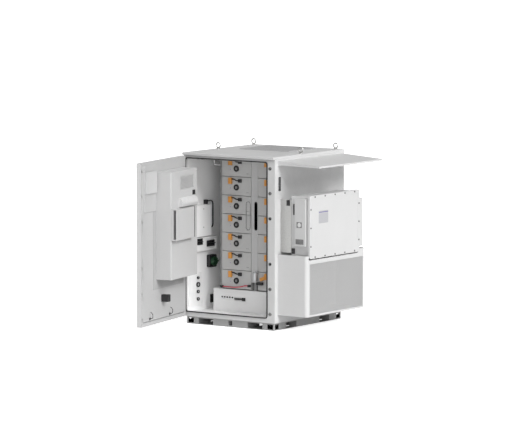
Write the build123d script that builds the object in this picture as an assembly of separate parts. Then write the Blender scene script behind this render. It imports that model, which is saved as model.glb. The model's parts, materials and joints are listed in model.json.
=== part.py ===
"""Outdoor battery cabinet with a wall-mounted inverter, built as an assembly of separate pieces.

Millimetres, +Z up.  The origin is the middle of the plinth's underside, the front faces -Y and the
inverter hangs on the +X wall.  The door stands open, as at rest.
"""
from build123d import *
import math
import os

# ---------------------------------------------------------------- driving sizes
cabinet_width = 1350.0
cabinet_depth = 1500.0
cabinet_height = 2100.0
base_height = 93.0
base_inset = 27.0
base_wall = 6.0
wall = 40.0                      # insulated wall: outer sheet, foam and liner
seat_gap = 0.3                   # between pieces that are bolted together
frame_thickness = 4.0            # front frame plate

opening_left = 26.0              # from the cabinet's left side to the door opening
opening_right = 104.0
opening_bottom = 52.0            # above the plinth
opening_top = 36.0               # below the roof
seal_over = 6.0                  # seal above the ceiling line
seal_margin = 4.0                # seal to the edge of the frame's hole
opening_radius = 34.0
seal_width = 12.0
seal_thickness = 11.4

roof_thickness = 30.0
roof_overhang = 35.0
roof_sheet = 3.0
vent_width = 740.0
vent_depth = 640.0
vent_rise = 9.0
vent_slot = 16.0
vent_shift = 45.0
vent_lap = 20.0
vent_well = 12.0
vent_border = 50.0
vent_rib = 16.0
vent_rows = 9
eye_hole_radius = 22.0
eye_bar_radius = 8.0
eye_collar_radius = 19.0
eye_collar_height = 12.0
eye_inset = 60.0
eye_front = 640.0
eye_from_back = 100.0

corner_block = 120.0
corner_hole_width = 84.0
corner_hole_height = 62.0
casting_wall = 10.0
pocket_width = 220.0
pocket_height = 70.0
front_pocket_share = 0.541       # distance between the front pockets over the cabinet's width
side_pocket_share = 0.4767       # distance between the side pockets over the cabinet's depth
centre_hole = 56.0
cross_beam_width = 80.0

door_gap = 12.0                  # between the frame and the closed door
door_thickness = 60.0
door_right_gap = 50.0            # door edge to the cabinet's right side
door_sheet = 2.0
door_bottom_gap = 10.0           # above the plinth
door_top_gap = 6.0               # under the roof lip
hinge_offset = 30.0              # hinge axis from the cabinet's left side
hinge_side_gap = 12.0            # hinge axis to the door's edge
hinge_radius = 9.0
hinge_pin_radius = 5.0
hinge_fit = 0.05
hinge_length = 110.0
hinge_spacing = 800.0
open_angle = 78.7

ac_from_hinge = 106.0
ac_width = 750.0
ac_bottom = 635.0
ac_top_gap = 134.0               # below the door's top edge
ac_stand = 200.0                 # how far it stands out of the door's inner face
ac_radius = 12.0
ac_clearance = 1.0
duct_height = 370.0
duct_drop = 818.0                # duct's lower edge below the top of the air conditioner
duct_width = 520.0
duct_stand = 66.0
duct_base = 28.0
duct_sheet = 3.0
duct_flange = 14.0
duct_cap_width = 26.0
hood_height = 120.0
hood_drop = 444.0
hood_from_edge = 84.0
hood_width = 440.0
hood_stand = 52.0
return_grille_width = 395.0
return_grille_height = 176.0
return_grille_drop = 236.0
return_grille_from_edge = 96.0
grille_depth = 12.0
controller_size = 54.0
controller_drop = 312.0
controller_from_edge = 86.0
controller_stand = 14.0
gasket_margin = 84.0
gasket_drop = 118.0
gasket_under_top = 465.0         # gasket's upper end below the top of the air conditioner
gasket_side = 20.0
gasket_thickness = 3.0
louvre_margin = 18.0
louvre_stand = 14.0
louvre_pitch = 38.0
louvre_slot = 18.0
louvre_slot_inset = 60.0
louvre_lower_rows = 13
louvre_upper_rows = 8
grille_rows = 10
stiffener_thickness = 8.0
stiffener_top_gap = 14.0         # below the ceiling line, so that it enters the frame
stiffener_inset = 76.0
pocket_sheet = 1.5
folder_height = 260.0
folder_drop = 345.0              # folder's lower edge below the ceiling line
folder_stand = 20.0
folder_gap = 22.0
liner_slot_inset = 42.0          # slots along the door's free edge
liner_slot_width = 6.0
liner_slots = ((0.162, 0.2), (0.289, 0.418), (0.568, 0.672))     # over the door's height
liner_fold_height = 48.0
guide_shares = (0.116, 0.274, 0.432, 0.57, 0.718, 0.871)         # rod guides over the door's height
terminal_from_hinge = 640.0
terminal_width = 76.0
terminal_bottom = 352.0
terminal_height = 88.0
terminal_stand = 90.0
stay_places = (480.0, 1040.0)    # from the hinge axis
stay_bottom = 168.0
stay_radius = 4.0

rod_travel = 18.0
rod_width = 16.0
rod_thickness = 4.0
lock_inset = 19.0                # lock line from the door's free edge
lock_handle_height = 1082.0
lock_shares = (0.05, 0.2045, 0.3595, 0.6395, 0.7945, 0.9465)     # lock stations over the door's height
lock_disc_radius = 12.0
lock_cup_depth = 16.0
lock_cup_wall = 1.5
lock_grip = 6.0
spindle_radius = 6.0
lock_pin_radius = 6.0
lock_pin_reach = 8.0
keeper_radius = 20.0
keeper_rise = 2.5
keeper_shoulder = 5.0
keeper_slot = 15.0

module_width = 434.0
module_depth = 800.0
module_gap = 6.8                 # between one module and the next above
module_top_gap = 7.2
module_count = 7
module_bottom = 432.0
module_front = 330.0             # from the cabinet's front plane
module_side_gap = 5.0            # right stack to the right wall
stack_gap = 102.0                # between the two stacks
module_radius = 6.0
rail_thickness = 3.0
rail_reach = 26.0                # under the module's edge
post_size = 36.0
post_sheet = 3.0
post_gap = 2.0
rack_setback = 24.0
high_voltage_gap = 14.0          # lid of the lower box to the first module
high_voltage_overhang = 130.0    # left of the left stack
high_voltage_short = 60.0        # shallower than the modules
plug_height = 96.0               # service plug above the module's underside
plug_stand = 6.0
plug_depth = 12.0
plug_rim = 6.0
plug_hub = 11.0
spoke_width = 6.0
service_plug_radius = 37.0
connector_left = 103.0           # orange connector from the module's middle
connector_width = 46.0
connector_stand = 34.0
connector_height = 74.0
connector_drop = 84.0            # lower edge below the module's top
jack_left = 42.0                 # black connector from the module's middle
jack_width = 42.0
jack_stand = 30.0
jack_height = 40.0
jack_drop = 62.0
link_radius = 7.0
link_fall = 18.0
cover_gap = 4.0                  # centre cover to each stack
cover_sheet = 3.0
cover_back = 6.0                 # centre cover behind the module fronts
cover_slot_length = 350.0
cover_slot_width = 46.0
cover_slot_height = 1335.0
hoop_width = 66.0
hoop_bar = 7.0
hoop_stand = 6.0
canister_radius = 31.0
canister_height = 106.0
canister_bottom = 546.0
canister_neck = 12.0

boot_width = 28.0
boot_stand = 40.0
boot_height = 26.0
red_radius = 7.0
red_run = 408.0                  # second boot from the left stack's edge
red_low_z = 449.0
red_high_z = 478.0
terminal_block_width = 84.0
terminal_block_bottom = 500.0
terminal_block_height = 34.0
feed_length = 78.0
feed_width = 38.0
feed_stand = 40.0
feed_tilt = 24.0
feed_from_edge = 92.0
feed_height = 582.0
row_from_edge = 135.0            # recessed row on the lower box
row_width = 350.0
row_drop = 114.0
row_height = 40.0
row_recess = 4.0
switch_along = 232.0
switch_width = 114.0
switch_depth = 20.0
switch_height = 28.0
switch_pin_radius = 6.0
switch_blade = 8.0
switch_reach = 16.0
canister_stand = 4.0
control_width = 335.0            # left wall equipment
control_from_front = 80.0
control_bottom = 1052.0
control_height = 388.0
control_stand = 78.0
breaker_from_front = 125.0
breaker_width = 435.0
breaker_bottom = 872.0
breaker_height = 168.0
breaker_stand = 66.0
breaker_recess = 18.0
breaker_windows = ((8.0, 137.0, 76.0, 158.0), (205.0, 395.0, 24.0, 140.0))     # along, along, up, up
lever_axis_in = 9.0
lever_radius = 5.0
lever_blade = 17.0
isolator_from_front = 490.0
isolator_bottom = 652.0
isolator_height = 154.0
isolator_width = 140.0
isolator_stand = 50.0
isolator_knob_radius = 56.0
isolator_knob_depth = 36.0
isolator_grip = 18.0
socket_from_front = 36.0
socket_width = 264.0
socket_bottom = 200.0
socket_height = 400.0
socket_plate = 10.0
socket_ring_depth = 18.0
socket_line = 216.0              # sockets from the front
socket_rows = ((342.0, 17.0), (259.0, 31.0), (173.0, 21.0), (82.0, 21.0))      # above the panel's foot, radius
socket_strip_width = 48.0
socket_strip_height = 220.0
lead_block_stand = 17.0
lead_block_from_front = 490.0
lead_block_width = 60.0
lead_block_height = 100.0
cable_top = 1478.0
cable_foot = 1150.0
cable_line = 500.0
cable_radius = 7.0
cable_plug = 30.0
detector_radius = 42.0
detector_height = 34.0
detector_from_left = 130.0
detector_from_front = 240.0
hanger_width = 140.0
hanger_from_front = 470.0
hanger_drop = 120.0
hanger_sheet = 4.0
hanger_bar = 12.0

status_from_front = 98.0
status_width = 40.0
status_height = 169.0
status_drop = 192.0              # top of the light bar below the canopy's root
status_stand = 8.0

inverter_stand = 440.0
inverter_from_front = 105.0
inverter_width = 1080.0
inverter_height = 762.0
inverter_bottom = 888.0
inverter_cover_depth = 34.0
inverter_body_depth = 250.0
inverter_body_inset = 20.0
inverter_radius = 34.0
cover_edge = 8.0
cover_border = 44.0
cover_field_depth = 2.0
display_from_front = 190.0
display_drop = 345.0             # display's lower edge below the inverter's top
display_width = 202.0
display_height = 150.0
display_depth = 6.0
fin_depth = 74.0
fin_thickness = 3.0
fin_pitch = 26.0
fin_border = 90.0
fin_root = 10.0
bracket_rise = 60.0
bracket_inset = 40.0
bracket_width = 44.0
bracket_sheet = 4.0
switch_box_from_wall = 232.0
switch_box_width = 153.0
switch_box_depth = 44.0
switch_box_rise = 150.0
switch_box_drop = 42.0
knob_from_wall = 300.0
knob_rise = 408.0
knob_radius = 26.0
knob_depth = 6.0
knob_grip = 12.0
fan_tray_from_wall = 205.0
fan_tray_depth = 148.0
fan_tray_drop = 118.0
gland_count = 6
gland_radius = 22.0
gland_length = 40.0

guard_stand = 425.0
guard_front = 65.0
guard_from_back = 170.0
guard_bottom = 190.0
guard_top = 925.0
guard_sheet = 3.0
guard_radius = 45.0
guard_cut_gap = 14.0             # guard's upper edge below the inverter
guard_cut_side = 22.0
guard_cut_radius = 70.0
mesh_top_drop = 101.0
mesh_bottom_rise = 24.0
mesh_overlap = 8.0
mesh_border = 40.0
mesh_inset = 58.0
mesh_hole = 17.0
mesh_pitch_y = 46.0
mesh_pitch_z = 26.0

canopy_reach = 600.0
canopy_front = 68.0
canopy_from_back = 52.0
canopy_drop = 20.0               # canopy's root below the roof
canopy_root = 46.0
canopy_fall = 42.0
canopy_sheet = 3.0
canopy_lip = 18.0
canopy_side_flange = 24.0

# ---------------------------------------------------------------- derived places
left_x = -cabinet_width / 2
right_x = cabinet_width / 2
front_y = -cabinet_depth / 2
back_y = cabinet_depth / 2
roof_under = cabinet_height - roof_thickness
inner_left = left_x + wall
inner_right = right_x - wall
floor_top = base_height + opening_bottom
ceiling_z = roof_under - opening_top
hinge_x = left_x + hinge_offset
door_inner_y = front_y - door_gap
door_outer_y = door_inner_y - door_thickness
hinge_y = door_inner_y - door_thickness / 2
door_left = hinge_x + hinge_side_gap
door_right = right_x - door_right_gap
door_bottom = base_height + door_bottom_gap
door_top = roof_under - door_top_gap
door_height = door_top - door_bottom
lock_stations = [door_bottom + share * door_height for share in lock_shares]
lock_x = door_right - lock_inset
module_y = front_y + module_front
right_stack_x = inner_right - module_side_gap - module_width
stack_x = (right_stack_x - stack_gap - module_width, right_stack_x)
module_pitch = (ceiling_z - module_top_gap - module_bottom + module_gap) / module_count
module_height = module_pitch - module_gap
ac_left = hinge_x + ac_from_hinge
ac_right = ac_left + ac_width
ac_top = door_top - ac_top_gap
ac_face_y = door_inner_y + ac_stand
canopy_wall_height = roof_under - canopy_drop
front_pocket_pitch = cabinet_width * front_pocket_share
side_pocket_pitch = cabinet_depth * side_pocket_share
cover_x = right_x + inverter_stand
cover_back_x = cover_x - inverter_cover_depth
body_back_x = cover_back_x - inverter_body_depth
inverter_y = front_y + inverter_from_front
inverter_top = inverter_bottom + inverter_height


# ---------------------------------------------------------------- helpers
def block(x0, x1, y0, y1, z0, z1):
    """Box from its six limits."""
    return Pos((x0 + x1) / 2, (y0 + y1) / 2, (z0 + z1) / 2) * Box(x1 - x0, y1 - y0, z1 - z0)


def rounded_plate(x0, x1, y0, y1, z0, z1, radius):
    """Upright plate facing -Y with rounded corners."""
    plane = Plane(origin=((x0 + x1) / 2, y1, (z0 + z1) / 2), x_dir=(1, 0, 0), z_dir=(0, -1, 0))
    return extrude(plane * RectangleRounded(x1 - x0, z1 - z0, radius), y1 - y0)


def side_plate(x0, x1, y0, y1, z0, z1, radius):
    """Upright plate facing +X with rounded corners."""
    plane = Plane(origin=(x0, (y0 + y1) / 2, (z0 + z1) / 2), x_dir=(0, 1, 0), z_dir=(1, 0, 0))
    return extrude(plane * RectangleRounded(y1 - y0, z1 - z0, radius), x1 - x0)


def rod_y(x, y0, y1, z, radius):
    """Round bar along Y."""
    return Pos(x, (y0 + y1) / 2, z) * Rot(90, 0, 0) * Cylinder(radius, y1 - y0)


def rod_x(x0, x1, y, z, radius):
    """Round bar along X."""
    return Pos((x0 + x1) / 2, y, z) * Rot(0, 90, 0) * Cylinder(radius, x1 - x0)


def rod_z(x, y, z0, z1, radius):
    """Upright round bar."""
    return Pos(x, y, (z0 + z1) / 2) * Cylinder(radius, z1 - z0)


def swing_open(shape):
    """Turns a door piece from the closed place to the open rest place."""
    about = Axis((hinge_x, hinge_y, 0), (0, 0, 1))
    return shape.rotate(about, -open_angle)


def save(name, *pieces):
    """Writes one node: a single solid, or several separate ones."""
    solids = []
    for piece in pieces:
        solids.extend(piece.solids())
    shape = solids[0] if len(solids) == 1 else Compound(children=solids)
    export_step(shape, f"parts/{name}.step")


def tube(points, radius):
    """Held cable: straight runs joined by the largest tangent arcs that fit."""
    corners = [Vector(*p) for p in points]
    radii = []
    for before, here, after in zip(corners, corners[1:], corners[2:]):
        turn = math.radians((here - before).get_angle(after - here))
        run = min((here - before).length, (after - here).length)
        radii.append(0.45 * run / math.tan(turn / 2))
    path = FilletPolyline(*corners, radius=radii)
    print("bend radii", [round(r, 1) for r in radii])
    start = Plane(origin=path @ 0, z_dir=path % 0)
    return sweep(start * Circle(radius), path=path)


# ---------------------------------------------------------------- plinth and body
def make_casting(xs, ys, way_x, way_y):
    """Hollow corner block, with a hole in each of its two outer faces."""
    top = base_height - base_wall - seat_gap
    casting = block(*xs, *ys, 0, top)
    casting -= block(xs[0] + casting_wall, xs[1] - casting_wall, ys[0] + casting_wall, ys[1] - casting_wall,
                     casting_wall, top - casting_wall)
    mid_x, mid_y, mid_z = sum(xs) / 2, sum(ys) / 2, top / 2
    half, rise = corner_hole_width / 2, corner_hole_height / 2
    reach = corner_block / 2 + 1
    hole_x = sorted((mid_x, mid_x - way_x * reach))
    hole_y = sorted((mid_y, mid_y - way_y * reach))
    casting -= block(*hole_x, mid_y - half, mid_y + half, mid_z - rise, mid_z + rise)
    casting -= block(mid_x - half, mid_x + half, *hole_y, mid_z - rise, mid_z + rise)
    return casting


def make_base():
    x0, x1 = left_x + base_inset, right_x - base_inset
    y0, y1 = front_y + base_inset, back_y - base_inset
    beam = corner_block - 2 * base_wall
    ring = block(x0, x1, y0, y1, 0, base_height)
    ring -= block(x0 + beam, x1 - beam, y0 + beam, y1 - beam, -1, base_height - base_wall)
    castings = []
    for sx, way_x in ((x0, 1), (x1, -1)):
        for sy, way_y in ((y0, 1), (y1, -1)):
            xs, ys = sorted((sx, sx + way_x * corner_block)), sorted((sy, sy + way_y * corner_block))
            ring -= block(xs[0] - 1, xs[1] + 1, ys[0] - 1, ys[1] + 1, -1, base_height - base_wall)
            castings.append(make_casting(xs, ys, way_x, way_y))
    pocket_z0, pocket_z1 = base_wall, base_wall + pocket_height
    half = pocket_width / 2
    for side in (-1, 1):
        px = side * front_pocket_pitch / 2
        ring += block(px - half - base_wall, px + half + base_wall, y0 + beam / 2, y1 - beam / 2, 0,
                      pocket_z1 + base_wall)
        ring -= block(px - half, px + half, y0 - 1, y1 + 1, pocket_z0, pocket_z1)
    for side in (-1, 1):
        py = side * side_pocket_pitch / 2
        ring -= block(x0 - 1, x1 + 1, py - half, py + half, pocket_z0, pocket_z1)
    cross_end = front_pocket_pitch / 2 - half - base_wall
    cross_half = cross_beam_width / 2
    ring += block(-cross_end, cross_end, -cross_half, cross_half, 0, base_height - base_wall)
    hole_z0 = (base_height - centre_hole) / 2
    ring -= block(-centre_hole / 2, centre_hole / 2, y0 - 1, y0 + beam + 1, hole_z0, hole_z0 + centre_hole)
    save("base_plinth", ring, *castings)


def make_body():
    z0, z1 = base_height, roof_under
    y0 = front_y + frame_thickness
    shell = block(left_x, right_x, y0, back_y, z0, z1)
    shell -= block(inner_left, inner_right, y0 - 1, back_y - wall, floor_top, z1 - opening_top)
    save("body_shell", shell)
    frame = block(left_x, right_x, front_y, y0 - seat_gap, z0, z1)
    rim = seal_width + seal_margin
    ox0, ox1 = left_x + opening_left, right_x - opening_right
    oz0, oz1 = floor_top, ceiling_z + seal_over
    frame -= rounded_plate(ox0 + rim, ox1 - rim, front_y - 1, y0 + 1, oz0 + rim,
                           oz1 - rim, opening_radius - seal_width)
    for height in lock_stations:
        frame -= rod_y(lock_x, front_y - 1, y0 + 1, height, keeper_radius - keeper_shoulder)
    save("front_frame", frame)
    seal = rounded_plate(ox0, ox1, front_y - seal_thickness, front_y, oz0, oz1, opening_radius)
    seal -= rounded_plate(ox0 + seal_width, ox1 - seal_width, front_y - seal_thickness - 1, front_y + 1,
                          oz0 + seal_width, oz1 - seal_width, opening_radius - seal_width)
    save("door_seal", seal)
    keepers = []
    for height in lock_stations:
        cup = rod_y(lock_x, front_y - keeper_rise, front_y, height, keeper_radius)
        cup += rod_y(lock_x, front_y, y0 - seat_gap, height, keeper_radius - keeper_shoulder - seat_gap)
        plane = Plane(origin=(lock_x, front_y, height), x_dir=(0, 0, 1), z_dir=(0, -1, 0))
        slot = plane * SlotOverall(2 * keeper_radius - keeper_shoulder, keeper_slot)
        cup -= extrude(slot, wall, both=True)
        keepers.append(cup)
    save("latch_keepers", *keepers)


def make_roof():
    z0, z1 = roof_under + seat_gap, cabinet_height
    y0 = front_y - roof_overhang
    roof = block(left_x, right_x, y0, back_y, z0, z1)
    roof -= block(left_x + roof_sheet, right_x - roof_sheet, y0 + roof_sheet, front_y - roof_sheet, z0 - 1,
                  z1 - roof_sheet)
    eye_back = cabinet_depth - eye_from_back
    vent_y = front_y + (eye_front + eye_back) / 2 + vent_shift
    half_x, half_y = vent_width / 2, vent_depth / 2
    roof -= block(vent_lap - half_x, half_x - vent_lap, vent_y - half_y + vent_lap, vent_y + half_y - vent_lap,
                  z1 - vent_well, z1 + 1)
    roof = chamfer(roof.edges().filter_by(Axis.X).group_by(Axis.Z)[-1].sort_by(Axis.Y)[:1], roof_sheet)
    save("roof_cover", roof)
    panel = block(-half_x, half_x, vent_y - half_y, vent_y + half_y, z1, z1 + vent_rise)
    panel = chamfer(panel.edges().group_by(Axis.Z)[-1], vent_rise / 2)
    row_pitch = (vent_depth - 2 * vent_border) / (vent_rows - 1)
    for row in range(vent_rows):
        ry = vent_y - half_y + vent_border + row * row_pitch
        for x0, x1 in ((vent_border - half_x, -vent_rib / 2), (vent_rib / 2, half_x - vent_border)):
            panel -= block(x0, x1, ry - vent_slot / 2, ry + vent_slot / 2, z1 - 1, z1 + vent_rise + 1)
    save("roof_vent_panel", panel)
    eyes = []
    for bx in (left_x + eye_inset, right_x - eye_inset):
        for by in (front_y + eye_front, front_y + eye_back):
            ring_radius = eye_hole_radius + eye_bar_radius
            collar = rod_z(bx, by, z1, z1 + eye_collar_height, eye_collar_radius)
            ring_z = z1 + eye_collar_height + ring_radius + eye_bar_radius / 2
            ring = Pos(bx, by, ring_z) * Rot(90, 0, 0) * Torus(ring_radius, eye_bar_radius)
            eyes.append(collar + ring)
    save("lifting_eyes", *eyes)


def control_cable():
    """Lead from a plug above the control box, down beside it and back into its side."""
    x = inner_left + control_stand / 2
    side_y = front_y + control_from_front + control_width
    line_y = front_y + cable_line
    plug_y = side_y - cable_plug
    lead = tube([(x, plug_y, cable_top), (x, line_y, cable_top), (x, line_y, cable_foot), (x, side_y, cable_foot)],
                cable_radius)
    return lead


# ---------------------------------------------------------------- inside: modules and their links
def make_service_plug(x, z):
    """Round plug with a rim, a hub and four arms."""
    front = module_y - plug_stand
    plug = rod_y(x, front, module_y + plug_depth, z, service_plug_radius)
    plug -= rod_y(x, front - 1, module_y + plug_depth / 3, z, service_plug_radius - plug_rim)
    plug += rod_y(x, front + plug_stand / 2, module_y + plug_depth / 2, z, plug_hub)
    for arm in range(4):
        spoke = block(-spoke_width / 2, spoke_width / 2, front + plug_stand / 2, module_y + plug_depth / 2, 0,
                      service_plug_radius - plug_rim / 2)
        plug += Pos(x, 0, z) * spoke.rotate(Axis((0, 0, 0), (0, 1, 0)), 45 + 90 * arm)
    return plug


def make_modules():
    links, oranges, plugs = [], [], []
    for name, x0 in zip(("battery_modules_left", "battery_modules_right"), stack_x):
        cases = []
        middle = x0 + module_width / 2
        for level in range(module_count):
            z0 = module_bottom + level * module_pitch
            top = z0 + module_height
            case = block(x0, x0 + module_width, module_y, module_y + module_depth, z0, top)
            case = fillet(case.edges().filter_by(Axis.Z), module_radius)
            case -= rod_y(middle, module_y - 1, module_y + plug_depth, z0 + plug_height,
                          service_plug_radius + module_radius / 2)
            cases.append(case)
            plugs.append(make_service_plug(middle, z0 + plug_height))
            orange_x = middle - connector_left
            orange_z = top - connector_drop
            orange = block(orange_x, orange_x + connector_width, module_y - connector_stand, module_y, orange_z,
                           orange_z + connector_height)
            oranges.append(fillet(orange.edges().filter_by(Axis.Z), module_radius))
            jack_x, jack_z = middle + jack_left, top - jack_drop
            jack = block(jack_x, jack_x + jack_width, module_y - jack_stand, module_y, jack_z, jack_z + jack_height)
            plugs.append(fillet(jack.edges().filter_by(Axis.Z), module_radius))
            lead_y = module_y - connector_stand / 2
            lead_x = orange_x + connector_width
            third = (jack_x - lead_x) / 3
            low_z = jack_z + jack_height / 2
            high_z = low_z + link_fall
            links.append(tube([(lead_x, lead_y, high_z), (lead_x + third, lead_y, high_z),
                               (jack_x - third, lead_y, low_z), (jack_x, lead_y, low_z)], link_radius))
        save(name, *cases)
    x0, y0 = stack_x[0], module_y - boot_stand
    boots = [block(x0, x0 + boot_width, y0, module_y, red_low_z - boot_height / 2, red_low_z + boot_height / 2),
             block(x0 + red_run, x0 + red_run + boot_width, y0, module_y, red_high_z - boot_height / 2,
                   red_high_z + boot_height / 2)]
    wall_x = inner_left + seat_gap
    side_y = front_y + control_from_front + control_width
    cable_head = block(wall_x, inner_left + control_stand / 2 + cable_radius, side_y - 2 * cable_plug,
                       side_y - cable_plug, control_bottom + control_height + seat_gap, cable_top + cable_plug / 2)
    terminal_x = stack_x[1]
    terminal = block(terminal_x, terminal_x + terminal_block_width, y0, module_y, terminal_block_bottom,
                     terminal_block_bottom + terminal_block_height)
    slot_x = cover_slot_x()
    slot_half = cover_slot_width / 2 + cover_sheet
    lining = block(slot_x - slot_half, slot_x + slot_half, module_y + cover_back + cover_sheet,
                   module_y + cover_back + 2 * cover_sheet, cover_slot_height - cover_slot_length / 2 - cover_sheet,
                   cover_slot_height + cover_slot_length / 2 + cover_sheet)
    feed = block(-feed_length / 2, feed_length / 2, -feed_stand, 0, -feed_width / 2, feed_width / 2)
    feed = fillet(feed.edges().filter_by(Axis.Y), module_radius)
    feed = feed.rotate(Axis((0, 0, 0), (0, 1, 0)), -feed_tilt)
    oranges.append(Pos(stack_x[1] + feed_from_edge, module_y, feed_height) * feed)
    save("orange_connectors", *oranges)
    save("module_plugs", *plugs, *boots, cable_head, terminal, lining)
    save("link_cables", *links, control_cable())


def cover_slot_x():
    """Middle of the long slot in the centre cover."""
    return stack_x[1] - cover_gap - cover_slot_width / 2 - 2 * cover_sheet


def make_rack():
    y0, y1 = module_y + rack_setback, module_y + module_depth
    top_z = ceiling_z - seat_gap
    base_z = module_bottom - high_voltage_gap + seat_gap
    gap_left, gap_right = stack_x[0] + module_width, stack_x[1]
    gap_mid = (gap_left + gap_right) / 2
    half = post_size / 2
    left_post = stack_x[0] - half - post_gap
    pieces = []
    for px in (left_post, gap_mid):
        for py in (y0 + half, y1 - half):
            post = block(px - half, px + half, py - half, py + half, base_z, top_z)
            inner = half - post_sheet
            pieces.append(post - block(px - inner, px + inner, py - inner, py + inner, base_z - 1, top_z + 1))
    for level in range(module_count):
        z1 = module_bottom + level * module_pitch - seat_gap
        z0 = z1 - rail_thickness
        pieces.append(block(left_post + half, stack_x[0] + rail_reach, y0, y1, z0, z1))
        pieces.append(block(gap_left - rail_reach, gap_mid - half, y0, y1, z0, z1))
        pieces.append(block(gap_mid + half, gap_right + rail_reach, y0, y1, z0, z1))
    frame = pieces[0].fuse(*pieces[1:])
    rails = []
    for level in range(module_count):
        z1 = module_bottom + level * module_pitch - seat_gap
        rails.append(block(gap_right + module_width - rail_reach, inner_right - seat_gap, y0, y1,
                           z1 - rail_thickness, z1))
    save("rack_frame", frame, *rails)
    cover_x0, cover_x1 = gap_left + cover_gap, gap_right - cover_gap
    face_y = module_y + cover_back
    foot_z, head_z = canister_bottom - rail_reach, top_z - post_size
    plate = block(cover_x0, cover_x1, face_y, y0 - seat_gap, foot_z, head_z)
    plate -= block(cover_x0 + cover_sheet, cover_x1 - cover_sheet, face_y + cover_sheet, y0, foot_z - 1, head_z + 1)
    for tie_z in (foot_z, head_z - post_size):
        plate += block(gap_mid - half + cover_gap, gap_mid + half - cover_gap, face_y, y0 - seat_gap, tie_z,
                       tie_z + rail_reach)
    plane = Plane(origin=(cover_slot_x(), face_y, cover_slot_height), x_dir=(0, 0, 1), z_dir=(0, -1, 0))
    slot = plane * SlotOverall(cover_slot_length, cover_slot_width)
    plate -= extrude(slot, cover_sheet, both=True)
    hoop_plane = Plane(origin=(gap_left - hoop_width / 2 - cover_gap, module_y, cover_slot_height), x_dir=(0, 0, 1),
                       z_dir=(0, -1, 0))
    hoop = extrude(hoop_plane * SlotOverall(cover_slot_length, hoop_width), hoop_stand)
    hoop -= extrude(hoop_plane * SlotOverall(cover_slot_length - 2 * hoop_bar, hoop_width - 2 * hoop_bar),
                    hoop_stand + 1)
    save("centre_post_cover", plate, hoop)


def make_high_voltage():
    x0, x1 = stack_x[0] - high_voltage_overhang, stack_x[1] + module_width
    z0, z1 = floor_top + seat_gap, module_bottom - high_voltage_gap
    box = block(x0, x1, module_y, module_y + module_depth - high_voltage_short, z0, z1)
    box = fillet(box.edges().filter_by(Axis.Z), module_radius)
    row_x, row_z = x0 + row_from_edge, z1 - row_drop
    box -= block(row_x, row_x + row_width, module_y - 1, module_y + row_recess, row_z - row_height / 2,
                 row_z + row_height / 2)
    switch_mid = row_x + switch_along
    half = switch_width / 2
    box -= block(switch_mid - half, switch_mid + half, module_y - 1, module_y + switch_depth,
                 row_z - switch_height / 2, row_z + switch_height / 2)
    save("high_voltage_box", box)
    pin_y = module_y + switch_depth / 2
    lever = rod_x(switch_mid - half + seat_gap, switch_mid + half - seat_gap, pin_y, row_z, switch_pin_radius)
    blade = switch_blade / 2
    lever += block(switch_mid - half * 0.7, switch_mid + half * 0.7, module_y - switch_reach, pin_y, row_z - blade,
                   row_z + blade)
    save("main_breaker_lever", lever)
    can_x = stack_x[1] - cover_gap - canister_radius / 2
    face_y = module_y + cover_back
    can_y = face_y - canister_radius - canister_stand
    top = canister_bottom + canister_height
    canister = rod_z(can_x, can_y, canister_bottom, top, canister_radius)
    canister = chamfer(canister.edges().group_by(Axis.Z)[-1], canister_neck / 2)
    canister += rod_z(can_x, can_y, top, top + canister_neck, canister_neck)
    half_clip = canister_radius / 2
    clip = block(can_x - half_clip, can_x + half_clip, can_y + half_clip, face_y - seat_gap,
                 canister_bottom + canister_radius, top - canister_radius)
    clip -= rod_z(can_x, can_y, canister_bottom, top, canister_radius + seat_gap)
    save("aerosol_canister", canister, clip)


def make_red_cable():
    y = module_y - boot_stand / 2
    x0 = stack_x[0] + boot_width
    x1 = stack_x[0] + red_run
    run = x1 - x0
    rise = red_high_z - red_low_z
    route = [(x0, y, red_low_z), (x0 + run * 0.2, y, red_low_z), (x0 + run * 0.45, y, red_low_z - rise * 0.1),
             (x0 + run * 0.7, y, red_low_z + rise * 0.35), (x0 + run * 0.88, y, red_high_z), (x1, y, red_high_z)]
    save("red_power_cable", tube(route, red_radius))


# ---------------------------------------------------------------- inside: left wall equipment
def make_breaker_unit():
    y_start = front_y + breaker_from_front
    face_x = inner_left + breaker_stand
    unit = side_plate(inner_left + seat_gap, face_x, y_start, y_start + breaker_width, breaker_bottom,
                      breaker_bottom + breaker_height, module_radius)
    levers = []
    for along0, along1, up0, up1 in breaker_windows:
        y0, y1 = y_start + along0, y_start + along1
        z0, z1 = breaker_bottom + up0, breaker_bottom + up1
        unit -= block(face_x - breaker_recess, face_x + 1, y0, y1, z0, z1)
        middle = (z0 + z1) / 2
        pin_x = face_x - lever_axis_in
        pin = rod_y(pin_x, y0 + seat_gap, y1 - seat_gap, middle, lever_radius)
        margin = lever_blade * 0.8
        half = lever_radius * 0.8
        levers.append(pin + block(pin_x, pin_x + lever_blade, y0 + margin, y1 - margin, middle - half, middle + half))
    save("breaker_unit", unit)
    save("breaker_lever_front", levers[0])
    save("breaker_lever_back", levers[1])


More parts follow.
